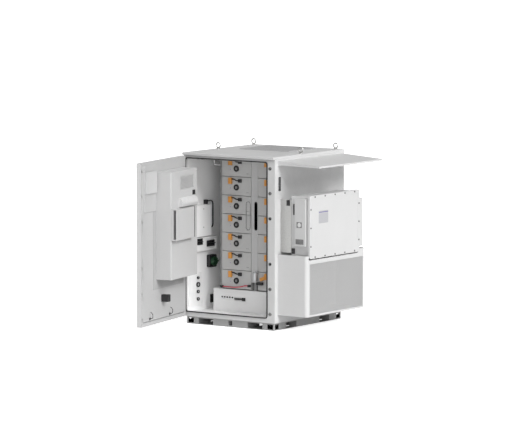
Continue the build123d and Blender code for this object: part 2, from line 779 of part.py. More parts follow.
def make_left_wall():
    x0 = inner_left + seat_gap
    y0 = front_y + control_from_front
    save("control_box", side_plate(x0, inner_left + control_stand, y0, y0 + control_width, control_bottom,
                                   control_bottom + control_height, module_radius))
    make_breaker_unit()
    yk = front_y + isolator_from_front
    zk = isolator_bottom + isolator_height / 2
    face_x = inner_left + isolator_stand
    save("isolator_housing", side_plate(x0, face_x, yk - isolator_width / 2, yk + isolator_width / 2,
                                        isolator_bottom, isolator_bottom + isolator_height, isolator_grip * 0.8))
    knob_x = face_x + isolator_knob_depth
    knob = rod_x(face_x + seat_gap, knob_x, yk, zk, isolator_knob_radius)
    knob = chamfer(knob.edges().sort_by(Axis.X)[-1:], lever_radius)
    grip_half = isolator_knob_radius * 0.8
    knob += block(knob_x, knob_x + isolator_grip, yk - grip_half, yk + grip_half, zk - isolator_grip / 2,
                  zk + isolator_grip / 2)
    save("isolator_knob", knob)
    y0 = front_y + socket_from_front
    panel_x = inner_left + socket_plate
    panel = side_plate(x0, panel_x, y0, y0 + socket_width, socket_bottom, socket_bottom + socket_height,
                       socket_plate / 2)
    strip_top = socket_bottom + socket_height - socket_plate
    panel += block(panel_x - 1, panel_x + socket_plate, y0 + socket_plate, y0 + socket_plate + socket_strip_width,
                   strip_top - socket_strip_height, strip_top)
    save("socket_panel", panel)
    sockets = []
    for up, radius in socket_rows:
        place = (front_y + socket_line, socket_bottom + up)
        ring = rod_x(panel_x, panel_x + socket_ring_depth, *place, radius)
        sockets.append(ring - rod_x(panel_x + socket_ring_depth / 3, panel_x + socket_ring_depth + 1, *place,
                                    radius * 0.62))
    y0 = front_y + lead_block_from_front
    z0 = socket_bottom + socket_plate
    sockets.append(block(x0, inner_left + lead_block_stand, y0, y0 + lead_block_width, z0, z0 + lead_block_height))
    save("panel_sockets", *sockets)
    detector = rod_z(left_x + detector_from_left, front_y + detector_from_front, ceiling_z - detector_height,
                     ceiling_z - seat_gap, detector_radius)
    save("smoke_detector", chamfer(detector.edges().group_by(Axis.Z)[0], detector_height / 3))
    x0, y0 = (inner_left + stack_x[0] - post_gap - hanger_width) / 2, front_y + hanger_from_front
    z0, z1 = ceiling_z - hanger_drop, ceiling_z - seat_gap
    hanger = block(x0, x0 + hanger_width, y0, y0 + hanger_sheet, z0, z1)
    hanger -= block(x0 + hanger_bar, x0 + hanger_width - hanger_bar, y0 - 1, y0 + hanger_sheet + 1,
                    z0 + hanger_bar, z1 - hanger_bar)
    save("ceiling_bracket", hanger)


# ---------------------------------------------------------------- door
def make_liner():
    """Inner sheet with its rod guides, lock slots and raised upper panel."""
    y1 = door_inner_y - door_sheet + seat_gap
    liner = block(door_left, door_right, y1, door_inner_y, door_bottom, door_top)
    liner -= block(ac_left - ac_clearance, ac_right + ac_clearance, door_outer_y - 1, door_inner_y + 1,
                   ac_bottom - ac_clearance, ac_top + ac_clearance)
    for height in lock_stations:
        way = 1 if height > lock_handle_height else -1
        plane = Plane(origin=(lock_x, door_inner_y, height + way * rod_travel / 2), x_dir=(0, 0, 1), z_dir=(0, -1, 0))
        slot = plane * SlotOverall(rod_travel + 3 * lock_pin_radius, 2.5 * lock_pin_radius)
        liner -= extrude(slot, door_sheet, both=True)
    slot_x = door_right - liner_slot_inset
    for low, high in liner_slots:
        liner -= block(slot_x - liner_slot_width, slot_x, y1 - 1, door_inner_y + 1, door_bottom + low * door_height,
                       door_bottom + high * door_height)
    fold_z = door_bottom + liner_fold_height
    liner -= block(door_left + liner_slot_inset, slot_x, y1 - 1, door_inner_y + 1, fold_z, fold_z + liner_slot_width)
    half, inner = rod_width, rod_width / 2 + seat_gap
    for share in guide_shares:
        height = door_bottom + share * door_height
        guide = block(lock_x - half, lock_x + half, y1 - 3 * rod_thickness, y1 + seat_gap, height - inner,
                      height + inner)
        liner += guide - block(lock_x - inner, lock_x + inner, y1 - 1.5 * rod_thickness, y1, height - half,
                               height + half)
    upper = rounded_plate(ac_right + 2 * ac_clearance, door_right - stiffener_inset, door_inner_y - seat_gap,
                          door_inner_y + stiffener_thickness, ac_top - gasket_under_top,
                          ceiling_z - stiffener_top_gap, ac_radius)
    liner += chamfer(upper.faces().sort_by(Axis.Y)[-1].edges(), stiffener_thickness / 3)
    return liner


def make_lock():
    """Flush quarter-turn lock and the two rods that it drives."""
    cup_radius = lock_disc_radius + lock_cup_wall + seat_gap
    bottom_y = door_outer_y + lock_cup_depth
    cup = rod_y(lock_x, door_outer_y, bottom_y, lock_handle_height, cup_radius)
    cup -= rod_y(lock_x, door_outer_y - 1, bottom_y - lock_cup_wall, lock_handle_height,
                 lock_disc_radius + seat_gap)
    cup -= rod_y(lock_x, door_outer_y, bottom_y + 1, lock_handle_height, spindle_radius + hinge_fit)
    save("handle_plate", swing_open(cup))
    face_y = door_outer_y + lock_cup_wall
    back_y_disc = bottom_y - lock_cup_wall - seat_gap
    disc = rod_y(lock_x, face_y, back_y_disc, lock_handle_height, lock_disc_radius)
    half = lock_grip / 2
    for side in (-1, 1):
        xs = sorted((lock_x + side * half, lock_x + side * (lock_disc_radius + 1)))
        disc -= block(*xs, face_y - 1, face_y + lock_grip, lock_handle_height - lock_disc_radius * 0.6,
                      lock_handle_height + lock_disc_radius * 0.6)
    spindle = rod_y(lock_x, back_y_disc - 1, door_inner_y - 5.5 * rod_thickness, lock_handle_height, spindle_radius)
    save("lock_handle", swing_open(disc + spindle))
    for name, way in (("lock_rod_upper", 1), ("lock_rod_lower", -1)):
        ends = [z for z in lock_stations if (z - lock_handle_height) * way > 0]
        far = max(ends) if way > 0 else min(ends)
        z0, z1 = sorted((lock_handle_height + way * 2 * lock_disc_radius, far + way * 2 * lock_pin_radius))
        y1 = door_inner_y - door_sheet - seat_gap
        half = rod_width / 2
        bar = block(lock_x - half, lock_x + half, y1 - rod_thickness, y1, z0, z1)
        for height in ends:
            bar += rod_y(lock_x, y1, door_inner_y + lock_pin_reach, height, lock_pin_radius)
        save(name, swing_open(bar))


def make_hinges():
    leaves, brackets = [], []
    middle = (door_bottom + door_top) / 2
    half, blade = hinge_length / 2, hinge_radius / 3
    post_right = left_x + opening_left - seat_gap
    for step in (-1, 0, 1):
        z = middle + step * hinge_spacing
        knuckle = rod_z(hinge_x, hinge_y, z, z + half, hinge_radius)
        knuckle += block(hinge_x, door_left, hinge_y - blade, hinge_y + blade, z, z + half)
        knuckle -= rod_z(hinge_x, hinge_y, z - 1, z + half + 1, hinge_pin_radius + hinge_fit)
        leaves.append(swing_open(knuckle))
        low = rod_z(hinge_x, hinge_y, z - half, z - seat_gap, hinge_radius)
        low += block(hinge_x - hinge_radius - hinge_pin_radius - 2, post_right, hinge_y - blade, front_y, z - half,
                     z - seat_gap)
        low += block(left_x + hinge_radius / 2, post_right, front_y - blade, front_y, z - half, z - seat_gap)
        low += rod_z(hinge_x, hinge_y, z - seat_gap, z + half - 2, hinge_pin_radius)
        brackets.append(low)
    save("hinge_leaves", *leaves)
    save("hinge_brackets", *brackets)


def make_door():
    leaf = block(door_left, door_right, door_outer_y, door_inner_y - door_sheet, door_bottom, door_top)
    leaf -= block(door_left + door_sheet, door_right - door_sheet, door_outer_y + door_sheet,
                  door_inner_y, door_bottom + door_sheet, door_top - door_sheet)
    leaf -= block(ac_left - ac_clearance, ac_right + ac_clearance, door_outer_y - 1, door_inner_y + 1,
                  ac_bottom - ac_clearance, ac_top + ac_clearance)
    leaf -= rod_y(lock_x, door_outer_y - 1, door_outer_y + door_sheet + 1, lock_handle_height,
                  lock_disc_radius + lock_cup_wall + 2 * seat_gap)
    save("door_leaf", swing_open(leaf))
    save("door_liner", swing_open(make_liner()))
    near = door_inner_y
    fold_x0, fold_x1 = ac_right + folder_gap, door_right - stiffener_inset - ac_radius
    fold_y0 = near + stiffener_thickness
    fold_y1 = fold_y0 + folder_stand
    folder_bottom = ceiling_z - folder_drop
    folder = block(fold_x0, fold_x1, fold_y0, fold_y1, folder_bottom, folder_bottom + folder_height)
    folder -= block(fold_x0 + pocket_sheet, fold_x1 - pocket_sheet, fold_y0 + pocket_sheet, fold_y1 - pocket_sheet,
                    folder_bottom + pocket_sheet, folder_bottom + folder_height + 1)
    save("document_pocket", swing_open(folder))
    gasket_top = ac_top - gasket_under_top - 1
    gasket = block(ac_left - gasket_side, ac_right + gasket_margin, near, near + gasket_thickness,
                   ac_bottom - gasket_drop, gasket_top)
    gasket -= block(ac_left - gasket_side - 1, ac_right + ac_clearance, near - 1, near + gasket_thickness + 1,
                    ac_bottom - ac_clearance, gasket_top + 1)
    save("ac_gasket", swing_open(gasket))
    make_lock()
    make_hinges()
    x0 = hinge_x + terminal_from_hinge
    terminal = block(x0, x0 + terminal_width, near, near + terminal_stand, terminal_bottom,
                     terminal_bottom + terminal_height)
    save("door_terminal_box", swing_open(fillet(terminal.edges().filter_by(Axis.Y), ac_radius)))
    stays = []
    foot = 7 * stay_radius
    for place in stay_places:
        x = hinge_x + place
        z = stay_bottom
        route = [(x, near + stay_radius, z + foot / 2), (x, near + 1.5 * foot, z + foot * 0.8),
                 (x, near + 1.5 * foot, z + 2.6 * foot), (x, near + foot / 2, z + 3.4 * foot)]
        plate = block(x - foot / 2, x + foot / 2, near, near + 1.5 * stay_radius, z, z + foot)
        stays.append(swing_open(tube(route, stay_radius) + plate))
    save("door_stay_hooks", *stays)


def make_air_conditioner():
    case = block(ac_left, ac_right, door_outer_y + 1, ac_face_y, ac_bottom, ac_top)
    case = fillet(case.edges().filter_by(Axis.Z).sort_by(Axis.Y)[-2:], ac_radius)
    grille_x0 = ac_left + return_grille_from_edge
    grille_x1 = grille_x0 + return_grille_width
    z0 = ac_top - return_grille_drop
    z1 = z0 + return_grille_height
    case -= block(grille_x0, grille_x1, ac_face_y - grille_depth, ac_face_y + 1, z0, z1)
    save("ac_housing", swing_open(case))
    grille = block(grille_x0 + 1, grille_x1 - 1, ac_face_y - grille_depth, ac_face_y - 2, z0 + 1, z1 - 1)
    pitch = (return_grille_height - 2 * grille_depth) / grille_rows
    for row in range(grille_rows):
        zr = z0 + grille_depth + (row + 0.5) * pitch
        grille -= block(grille_x0 + grille_depth, grille_x1 - grille_depth, ac_face_y - grille_depth - 1, ac_face_y,
                        zr - pitch * 0.3, zr + pitch * 0.3)
    save("ac_return_grille", swing_open(grille))
    duct_x0, duct_x1 = ac_right - duct_width, ac_right
    duct_z0 = ac_top - duct_drop
    duct_z1 = duct_z0 + duct_height
    base_y, y1 = ac_face_y + duct_base, ac_face_y + duct_stand
    duct = block(duct_x0, duct_x1, ac_face_y, y1, duct_z0, duct_z1)
    duct -= block(duct_x0 - 1, duct_x1 + 1, base_y, y1 - duct_sheet, duct_z0 + duct_flange, duct_z1 - duct_sheet)
    duct += block(duct_x0, duct_x1, ac_face_y, ac_face_y + duct_sheet, duct_z1, duct_z1 + duct_flange)
    save("ac_outlet_duct", swing_open(duct))
    x0, z0 = ac_left + hood_from_edge, ac_top - hood_drop + duct_flange
    rise = hood_height - duct_flange
    with BuildSketch(Plane(origin=(x0, ac_face_y, z0), x_dir=(0, 1, 0), z_dir=(1, 0, 0))) as hood_face:
        with BuildLine():
            Line((0, 0), (0, rise))
            ThreePointArc((0, rise), (hood_stand * 0.72, rise * 0.72), (hood_stand, rise * 0.28))
            Line((hood_stand, rise * 0.28), (hood_stand * 0.8, 0))
            Line((hood_stand * 0.8, 0), (0, 0))
        make_face()
    save("ac_air_hood", swing_open(extrude(hood_face.sketch, hood_width)))
    x0, z0 = ac_left + controller_from_edge, ac_top - controller_drop
    controller = block(x0, x0 + controller_size, ac_face_y, ac_face_y + controller_stand, z0, z0 + controller_size)
    controller = fillet(controller.edges().filter_by(Axis.Y), controller_size / 10)
    end_cap = block(duct_x0 - duct_cap_width, duct_x0 - seat_gap, ac_face_y, y1 - duct_sheet, duct_z0, duct_z1)
    save("ac_controller", swing_open(controller), swing_open(end_cap))
    outer = block(ac_left - louvre_margin, ac_right + louvre_margin, door_outer_y - louvre_stand, door_outer_y,
                  ac_bottom - louvre_margin, ac_top + louvre_margin)
    outer = chamfer(outer.faces().sort_by(Axis.Y)[0].edges(), louvre_stand / 3)
    for z_low, rows in ((ac_bottom + louvre_slot_inset, louvre_lower_rows),
                        (ac_top - louvre_slot_inset - louvre_upper_rows * louvre_pitch, louvre_upper_rows)):
        for row in range(rows):
            zr = z_low + row * louvre_pitch
            outer -= block(ac_left + louvre_slot_inset, ac_right - louvre_slot_inset, door_outer_y - louvre_stand - 1,
                           door_outer_y - louvre_stand / 3, zr, zr + louvre_slot)
    save("ac_outer_louvre", swing_open(outer))


# ---------------------------------------------------------------- right wall equipment
def make_status_bar():
    y = front_y + status_from_front
    top = canopy_wall_height - status_drop
    bar = side_plate(right_x, right_x + status_stand, y - status_width / 2, y + status_width / 2, top - status_height,
                     top, status_stand)
    save("status_light_bar", bar)


def make_canopy():
    x1 = right_x + canopy_reach
    y0, y1 = front_y + canopy_front, back_y - canopy_from_back
    z_wall, z_out = canopy_wall_height, canopy_wall_height - canopy_fall
    profile = Plane(origin=(0, y1, 0), x_dir=(1, 0, 0), z_dir=(0, -1, 0))
    with BuildSketch(profile) as section:
        with BuildLine():
            Polyline((right_x, z_wall - canopy_root), (right_x, z_wall + canopy_sheet), (x1, z_out + canopy_sheet),
                     (x1, z_out - canopy_lip), (x1 - canopy_sheet, z_out - canopy_lip), (x1 - canopy_sheet, z_out),
                     (right_x + canopy_sheet, z_wall), (right_x + canopy_sheet, z_wall - canopy_root),
                     (right_x, z_wall - canopy_root))
        make_face()
    canopy = extrude(section.sketch, y1 - y0)
    for side_y in (y1, y0 + canopy_sheet):
        side_plane = Plane(origin=(0, side_y, 0), x_dir=(1, 0, 0), z_dir=(0, -1, 0))
        with BuildSketch(side_plane) as gusset:
            with BuildLine():
                Polyline((right_x, z_wall), (x1, z_out), (x1, z_out - canopy_lip),
                         (right_x + 2 * canopy_side_flange, z_wall - 2 * canopy_side_flange),
                         (right_x, z_wall - 2.5 * canopy_side_flange), (right_x, z_wall))
            make_face()
        canopy += extrude(gusset.sketch, canopy_sheet)
    save("canopy", canopy)


def make_inverter():
    y0, y1 = inverter_y, inverter_y + inverter_width
    z0, z1 = inverter_bottom, inverter_top
    cover = side_plate(cover_back_x, cover_x, y0, y1, z0, z1, inverter_radius)
    cover = fillet(cover.faces().sort_by(Axis.X)[-1].edges(), cover_edge)
    cover -= side_plate(cover_x - cover_field_depth, cover_x + 1, y0 + cover_border, y1 - cover_border,
                        z0 + cover_border, z1 - cover_border, inverter_radius / 2)
    display_y, display_z = y0 + display_from_front, z1 - display_drop
    cover -= side_plate(cover_x - display_depth, cover_x + 1, display_y, display_y + display_width, display_z,
                        display_z + display_height, cover_edge)
    save("inverter_cover", cover)
    display = side_plate(cover_x - display_depth, cover_x - cover_field_depth + seat_gap, display_y + 1,
                         display_y + display_width - 1, display_z + 1, display_z + display_height - 1, cover_edge - 1)
    save("inverter_display", display)
    save("inverter_body", side_plate(body_back_x, cover_back_x - seat_gap, y0 + inverter_body_inset,
                                     y1 - inverter_body_inset, z0 + cover_edge, z1 - 2 * cover_edge,
                                     inverter_radius / 2))
    fin_y0, fin_y1 = y0 + fin_border, y1 - fin_border
    fin_z0, fin_z1 = z0 + bracket_rise, z1 - bracket_rise
    root_x = body_back_x - fin_root
    sink = block(root_x, body_back_x - seat_gap, fin_y0 - fin_root, fin_y1 + fin_root, fin_z0, fin_z1)
    for fin in range(int((fin_y1 - fin_y0) // fin_pitch) + 1):
        fy = fin_y0 + fin * fin_pitch
        sink += block(body_back_x - fin_depth, root_x, fy, fy + fin_thickness, fin_z0, fin_z1)
    save("inverter_heat_sink", sink)
    arms = []
    half = bracket_width / 2
    for by in (y0 + bracket_inset, y1 - bracket_inset):
        arm = block(right_x, body_back_x - seat_gap, by - half, by + half, fin_z0, fin_z1)
        arms.append(arm - block(right_x + bracket_sheet, body_back_x - bracket_sheet, by - half + bracket_sheet,
                                by + half + 1, fin_z0 - 1, fin_z1 + 1))
    save("inverter_brackets", *arms)
    near_y, far_y = y0 + inverter_body_inset, y1 - inverter_body_inset
    box_y = near_y - switch_box_depth
    switch_box = block(right_x + switch_box_from_wall, right_x + switch_box_from_wall + switch_box_width, box_y,
                       near_y - seat_gap, z0 + switch_box_rise, z1 - switch_box_drop)
    save("switch_box", fillet(switch_box.edges().filter_by(Axis.Y), cover_edge))
    knob_x, knob_z = right_x + knob_from_wall, z0 + knob_rise
    knob = rod_y(knob_x, box_y - knob_depth, box_y - seat_gap, knob_z, knob_radius)
    knob += block(knob_x - knob_grip / 2, knob_x + knob_grip / 2, box_y - knob_depth - knob_grip, box_y - knob_depth,
                  knob_z - knob_radius * 0.9, knob_z + knob_radius * 0.9)
    save("dc_switch_knob", knob)
    far_box = block(right_x + fan_tray_from_wall, cover_back_x - cover_edge, far_y + seat_gap, far_y + fan_tray_depth,
                    z0 + bracket_rise, z1 - fan_tray_drop)
    save("fan_tray", fillet(far_box.edges().filter_by(Axis.Y), cover_edge))
    glands = []
    pitch = inverter_width / (gland_count + 2)
    for step in range(gland_count):
        glands.append(rod_z(cover_back_x - bracket_width * 2, y0 + pitch * (step + 1.5), z0 - gland_length,
                            z0 + cover_edge, gland_radius))
    save("cable_glands", *glands)


def make_guard():
    x1 = right_x + guard_stand
    y0, y1 = front_y + guard_front, back_y - guard_from_back
    outer = block(right_x, x1, y0, y1, guard_bottom, guard_top)
    outer = fillet(outer.edges().filter_by(Axis.Z).sort_by(Axis.X)[-2:], guard_radius)
    inner = block(right_x - 1, x1 - guard_sheet, y0 + guard_sheet, y1 - guard_sheet, guard_bottom + guard_sheet,
                  guard_top + 1)
    inner = fillet(inner.edges().filter_by(Axis.Z).sort_by(Axis.X)[-2:], guard_radius - guard_sheet)
    guard = outer - inner
    cut_y1 = inverter_y + inverter_width + guard_cut_side
    guard -= side_plate(right_x + guard_stand / 2, x1 + 1, inverter_y - seat_gap, cut_y1,
                        inverter_bottom - guard_cut_gap, guard_top + 2 * guard_cut_radius, guard_cut_radius)
    guard -= block(right_x + guard_stand / 2, x1 + 1, inverter_y - seat_gap, inverter_y + guard_cut_radius,
                   inverter_bottom - guard_cut_gap, guard_top + 1)
    mesh_y0, mesh_y1 = y0 + mesh_inset, y1 - mesh_inset
    mesh_z0, mesh_z1 = guard_bottom + mesh_bottom_rise, guard_top - mesh_top_drop
    guard -= side_plate(x1 - 2 * guard_sheet, x1 + 1, mesh_y0, mesh_y1, mesh_z0, mesh_z1, 2 * guard_sheet)
    save("guard_skirt", guard)
    mid_y, mid_z = (mesh_y0 + mesh_y1) / 2, (mesh_z0 + mesh_z1) / 2
    mesh_x = x1 - 2 * guard_sheet
    mesh = side_plate(mesh_x, mesh_x + guard_sheet, mesh_y0 - mesh_overlap, mesh_y1 + mesh_overlap,
                      mesh_z0 - mesh_overlap, mesh_z1 + mesh_overlap, 2 * guard_sheet)
    columns = int((mesh_y1 - mesh_y0 - mesh_border) // mesh_pitch_y)
    rows = int((mesh_z1 - mesh_z0 - mesh_border) // mesh_pitch_z)
    plane = Plane(origin=(mesh_x - 1, mid_y, mid_z), x_dir=(0, 1, 0), z_dir=(1, 0, 0))
    grid = GridLocations(mesh_pitch_y, mesh_pitch_z, columns, rows)
    holes = Sketch() + [plane * spot * Rectangle(mesh_hole * 2, mesh_hole) for spot in grid]
    mesh -= extrude(holes, 2 * guard_sheet)
    save("perforated_panel", mesh)


def main():
    os.makedirs("parts", exist_ok=True)
    make_base()
    make_body()
    make_roof()
    make_modules()
    make_rack()
    make_high_voltage()
    make_red_cable()
    make_left_wall()
    make_door()
    make_air_conditioner()
    make_status_bar()
    make_canopy()
    make_inverter()
    make_guard()


main()
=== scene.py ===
"""Outdoor battery cabinet: finishes, fine pieces and studio, laid out as an add-on."""
import json
import math

import bmesh
import bpy
from mathutils import Matrix, Vector


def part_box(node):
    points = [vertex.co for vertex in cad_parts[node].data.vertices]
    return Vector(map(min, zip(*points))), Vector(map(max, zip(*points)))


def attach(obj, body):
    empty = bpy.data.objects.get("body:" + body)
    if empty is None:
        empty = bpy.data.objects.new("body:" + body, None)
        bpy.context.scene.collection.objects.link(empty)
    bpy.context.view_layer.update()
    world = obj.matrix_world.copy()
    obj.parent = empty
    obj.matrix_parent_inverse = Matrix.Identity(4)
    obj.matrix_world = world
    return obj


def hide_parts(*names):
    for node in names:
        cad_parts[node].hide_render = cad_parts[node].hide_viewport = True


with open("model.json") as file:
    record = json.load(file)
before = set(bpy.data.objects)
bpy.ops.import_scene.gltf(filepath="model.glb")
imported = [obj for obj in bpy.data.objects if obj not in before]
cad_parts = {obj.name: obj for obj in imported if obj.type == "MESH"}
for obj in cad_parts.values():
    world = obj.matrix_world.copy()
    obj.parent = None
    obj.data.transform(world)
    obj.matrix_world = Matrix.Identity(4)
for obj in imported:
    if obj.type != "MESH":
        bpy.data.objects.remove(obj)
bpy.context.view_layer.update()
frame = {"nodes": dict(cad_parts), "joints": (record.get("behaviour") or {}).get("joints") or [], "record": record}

bl_info = {
    "name": "Battery cabinet",
    "version": (1, 0, 0),
    "blender": (4, 5, 0),
    "location": "3D View > Sidebar > Cabinet",
    "description": "Dresses the packed battery cabinet with finishes and fine pieces",
    "category": "Object",
}

MM = 0.001
X, Y, Z = Vector((1, 0, 0)), Vector((0, 1, 0)), Vector((0, 0, 1))
WELD, CAD_WELD = 1e-6, 1e-5              # vertices nearer than this become one
PIECE_SHARP = math.radians(30)           # edges over this angle stay sharp, on pieces made here
SHEET_SHARP = math.radians(35)           # and on nodes from the CAD
OPEN_ANGLE = math.radians(78.7)          # how far the door stands open at rest
MODULES = 7                              # in each stack
MODULE_PITCH, MODULE_HEIGHT = 0.2288, 0.222
PLUG_HEIGHT, PLUG_STAND = 0.096, 0.006   # service plug above its module's foot, and out of its face
SOCKET_LINE, SOCKET_FACE = -0.534, -0.625    # y of the round sockets, and x of their panel's face
JACK_FROM_EDGE = 0.130                   # signal jacks from their module's left edge
PLINTH_SKIN, SHELL_SKIN = 2.5 * MM, 20 * MM  # depth from which the inner tone of these nodes begins: painted shade in the plinth, painted light in the shell
FIN_GREY = (0.56, 0.57, 0.58)
LIGHT_COVER = (0.012, 0.013, 0.016)
DISPLAY_LINE = (0.14, 0.12, 0.30)
HINGE = Vector(next(j for j in frame["joints"] if j["name"] == "door_hinge")["pos_m"])


# ---------------------------------------------------------------- user settings
class CabinetFinish(bpy.types.PropertyGroup):
    """Colours of the finishes."""

    def paint(label, value):
        return bpy.props.FloatVectorProperty(name=label, description=label + " colour",
                                             subtype="COLOR", size=3, min=0, max=1, default=value)

    shell: paint("Cabinet coat", (0.60, 0.60, 0.60))
    inside: paint("Inner coat", (0.52, 0.52, 0.52))
    # Painted light: a paler tone for the bay's inner walls and the boxes on them, standing in for light inside the
    # cabinet
    bright: paint("Bay wall tone with painted light", (0.86, 0.86, 0.86))
    liner: paint("Door liner coat", (0.46, 0.46, 0.46))
    box: paint("Lower box coat", (0.80, 0.80, 0.80))
    plinth: paint("Plinth coat", (0.37, 0.37, 0.37))
    module: paint("Module coat", (0.50, 0.50, 0.495))
    white: paint("Inverter coat", (0.58, 0.58, 0.58))
    # Partly painted shade: the rack's grey is darkened to stand in for the shade on its post beside the modules
    post: paint("Rack coat", (0.27, 0.27, 0.27))
    vent: paint("Roof vent coat", (0.40, 0.40, 0.405))
    # Partly painted shade: the gasket round the air conditioner is a darker grey than the liner, standing in for
    # the shade along the recess there; the cable glands wear it too
    foam: paint("Foam strip", (0.38, 0.38, 0.38))
    # Painted shade: a dark grey for the inside of the plinth's fork pockets, standing in for the shade in them
    pocket: paint("Painted pocket shade", (0.30, 0.30, 0.30))
    guard: paint("Guard mesh coat", (0.43, 0.43, 0.43))
    fittings: paint("Grey fittings", (0.20, 0.20, 0.20))
    black: paint("Black plastic", (0.012, 0.012, 0.013))
    rubber: paint("Seal rubber", (0.014, 0.014, 0.015))
    orange: paint("Connector orange", (0.66, 0.29, 0.06))
    red: paint("Cable red", (0.50, 0.07, 0.10))
    green: paint("Isolator green", (0.010, 0.055, 0.020))
    violet: paint("Jack violet", (0.34, 0.20, 0.52))
    zinc: paint("Zinc plate", (0.55, 0.55, 0.54))
    display: paint("Display panel", (0.39, 0.39, 0.41))


class CabinetSizes(bpy.types.PropertyGroup):
    """Sizes of the fine pieces."""

    def length(label, value):
        return bpy.props.FloatProperty(name=label, description=label, unit="LENGTH", min=0.0001,
                                       default=value)

    edge: length("Sheet edge radius", 1.6 * MM)
    screw_radius: length("Cover screw head radius", 7 * MM)
    screw_height: length("Cover screw head height", 4 * MM)
    mesh_pitch: length("Guard perforation pitch", 12 * MM)
    mesh_hole: length("Guard perforation hole radius", 2.9 * MM)
    breaker_width: length("Breaker pole width", 17.5 * MM)


class CabinetStudio(bpy.types.PropertyGroup):
    """Camera and light."""

    azimuth: bpy.props.FloatProperty(name="Azimuth", subtype="ANGLE", default=math.radians(34.91),
                                     description="Camera direction round Z, 0 looks along +Y")
    elevation: bpy.props.FloatProperty(name="Elevation", description="Camera height angle",
                                       subtype="ANGLE", default=math.radians(6.03))
    distance: bpy.props.FloatProperty(name="Distance", description="Camera to the aim point",
                                      unit="LENGTH", default=45.406)
    aim: bpy.props.FloatVectorProperty(name="Aim", description="Point that the camera looks past",
                                       subtype="XYZ", default=(-0.025, 0.0, 1.05))
    lens: bpy.props.FloatProperty(name="Lens", description="Focal length in millimetres",
                                  default=260.15)
    key: bpy.props.FloatProperty(name="Key light", description="Sun strength", default=3.3)
    fill: bpy.props.FloatProperty(name="Fill light", description="World strength", default=0.26)


# ---------------------------------------------------------------- shader maths
class Sock:
    """One value in a material; operators on it add Math nodes."""

    def __init__(self, graph, socket):
        self.graph, self.socket = graph, socket

    def _math(self, kind, a, b=0.0, clamp=False):
        settings = {"operation": kind, "use_clamp": clamp}
        return self.graph.node("ShaderNodeMath", settings, {0: a, 1: b})

    def __add__(self, other):
        return self._math("ADD", self, other)

    def __radd__(self, other):
        return self._math("ADD", other, self)

    def __sub__(self, other):
        return self._math("SUBTRACT", self, other)

    def __rsub__(self, other):
        return self._math("SUBTRACT", other, self)

    def __mul__(self, other):
        return self._math("MULTIPLY", self, other)

    def __rmul__(self, other):
        return self._math("MULTIPLY", other, self)

    def __gt__(self, other):
        return self._math("GREATER_THAN", self, other)

    def __lt__(self, other):
        return self._math("LESS_THAN", self, other)

    def clamped(self):
        return self._math("ADD", self, 0.0, clamp=True)


class Graph:
    """A material's nodes, made through one method."""

    def __init__(self, name):
        self.material = bpy.data.materials.new(name)
        self.material.use_nodes = True
        self.tree = self.material.node_tree
        self.tree.nodes.clear()
        self.out = self.tree.nodes.new("ShaderNodeOutputMaterial")

    def node(self, kind, settings=None, inputs=None, output=0):
        made = self.tree.nodes.new(kind)
        for key, value in (settings or {}).items():
            setattr(made, key, value)
        for key, value in (inputs or {}).items():
            if isinstance(value, Sock):
                self.tree.links.new(value.socket, made.inputs[key])
            else:
                made.inputs[key].default_value = value
        return Sock(self, made.outputs[output])

    def place(self, scale=(1, 1, 1)):
        """Object coordinates, stretched."""
        coords = self.node("ShaderNodeTexCoord", output="Object")
        return self.node("ShaderNodeMapping", {}, {"Vector": coords, "Scale": scale})

    def noise(self, scale, detail=3.0, rough=0.5, stretch=(1, 1, 1)):
        inputs = {"Vector": self.place(stretch), "Scale": scale, "Detail": detail,
                  "Roughness": rough}
        return self.node("ShaderNodeTexNoise", {}, inputs, "Fac")

    def mix(self, factor, a, b):
        a = a if isinstance(a, Sock) else (*a, 1.0)
        b = b if isinstance(b, Sock) else (*b, 1.0)
        return self.node("ShaderNodeMix", {"data_type": "RGBA"}, {0: factor, 6: a, 7: b}, 2)

    def bump(self, height, strength, distance):
        inputs = {"Height": height, "Strength": strength, "Distance": distance}
        return self.node("ShaderNodeBump", {}, inputs)

    def finish(self, **inputs):
        names = {key.replace("_", " "): value for key, value in inputs.items()}
        shader = self.node("ShaderNodeBsdfPrincipled", {}, names)
        self.tree.links.new(shader.socket, self.out.inputs["Surface"])
        return self.material


def shade(colour, factor):
    return tuple(min(1.0, c * factor) for c in colour)


# ---------------------------------------------------------------- finishes
def powder_coat(name, colour, grain=1.0, gloss=0.46):
    """Textured powder coat: fine orange peel, faint clouding and smears of dust."""
    g = Graph(name)
    cloud = g.noise(2.3, 4.0)
    peel = g.noise(620.0 / grain, 2.0, 0.6)
    smear = g.noise(9.0, 5.0, 0.62, (1, 1, 3.5))
    tone = g.mix((cloud * 1.6 - 0.3).clamped(), shade(colour, 0.965), shade(colour, 1.02))
    tone = g.mix((smear * 2.2 - 1.15).clamped() * 0.30, tone, shade(colour, 0.90))
    rough = gloss + (smear - 0.5) * 0.16 + (peel - 0.5) * 0.05
    return g.finish(Base_Color=tone, Roughness=rough, Normal=g.bump(peel, 0.10, 0.0006))


def plated_steel(name, colour):
    """Zinc plate: faint spangle and brushed streaks."""
    g = Graph(name)
    spangle = g.node("ShaderNodeTexVoronoi", {}, {"Vector": g.place(), "Scale": 95.0}, "Color")
    grey = g.node("ShaderNodeRGBToBW", {}, {"Color": spangle})
    streak = g.noise(60.0, 3.0, 0.6, (1, 1, 12))
    tone = g.mix(grey * 0.6, shade(colour, 0.88), shade(colour, 1.08))
    return g.finish(Base_Color=tone, Metallic=1.0, Roughness=0.30 + streak * 0.18,
                    Normal=g.bump(streak, 0.05, 0.0004))


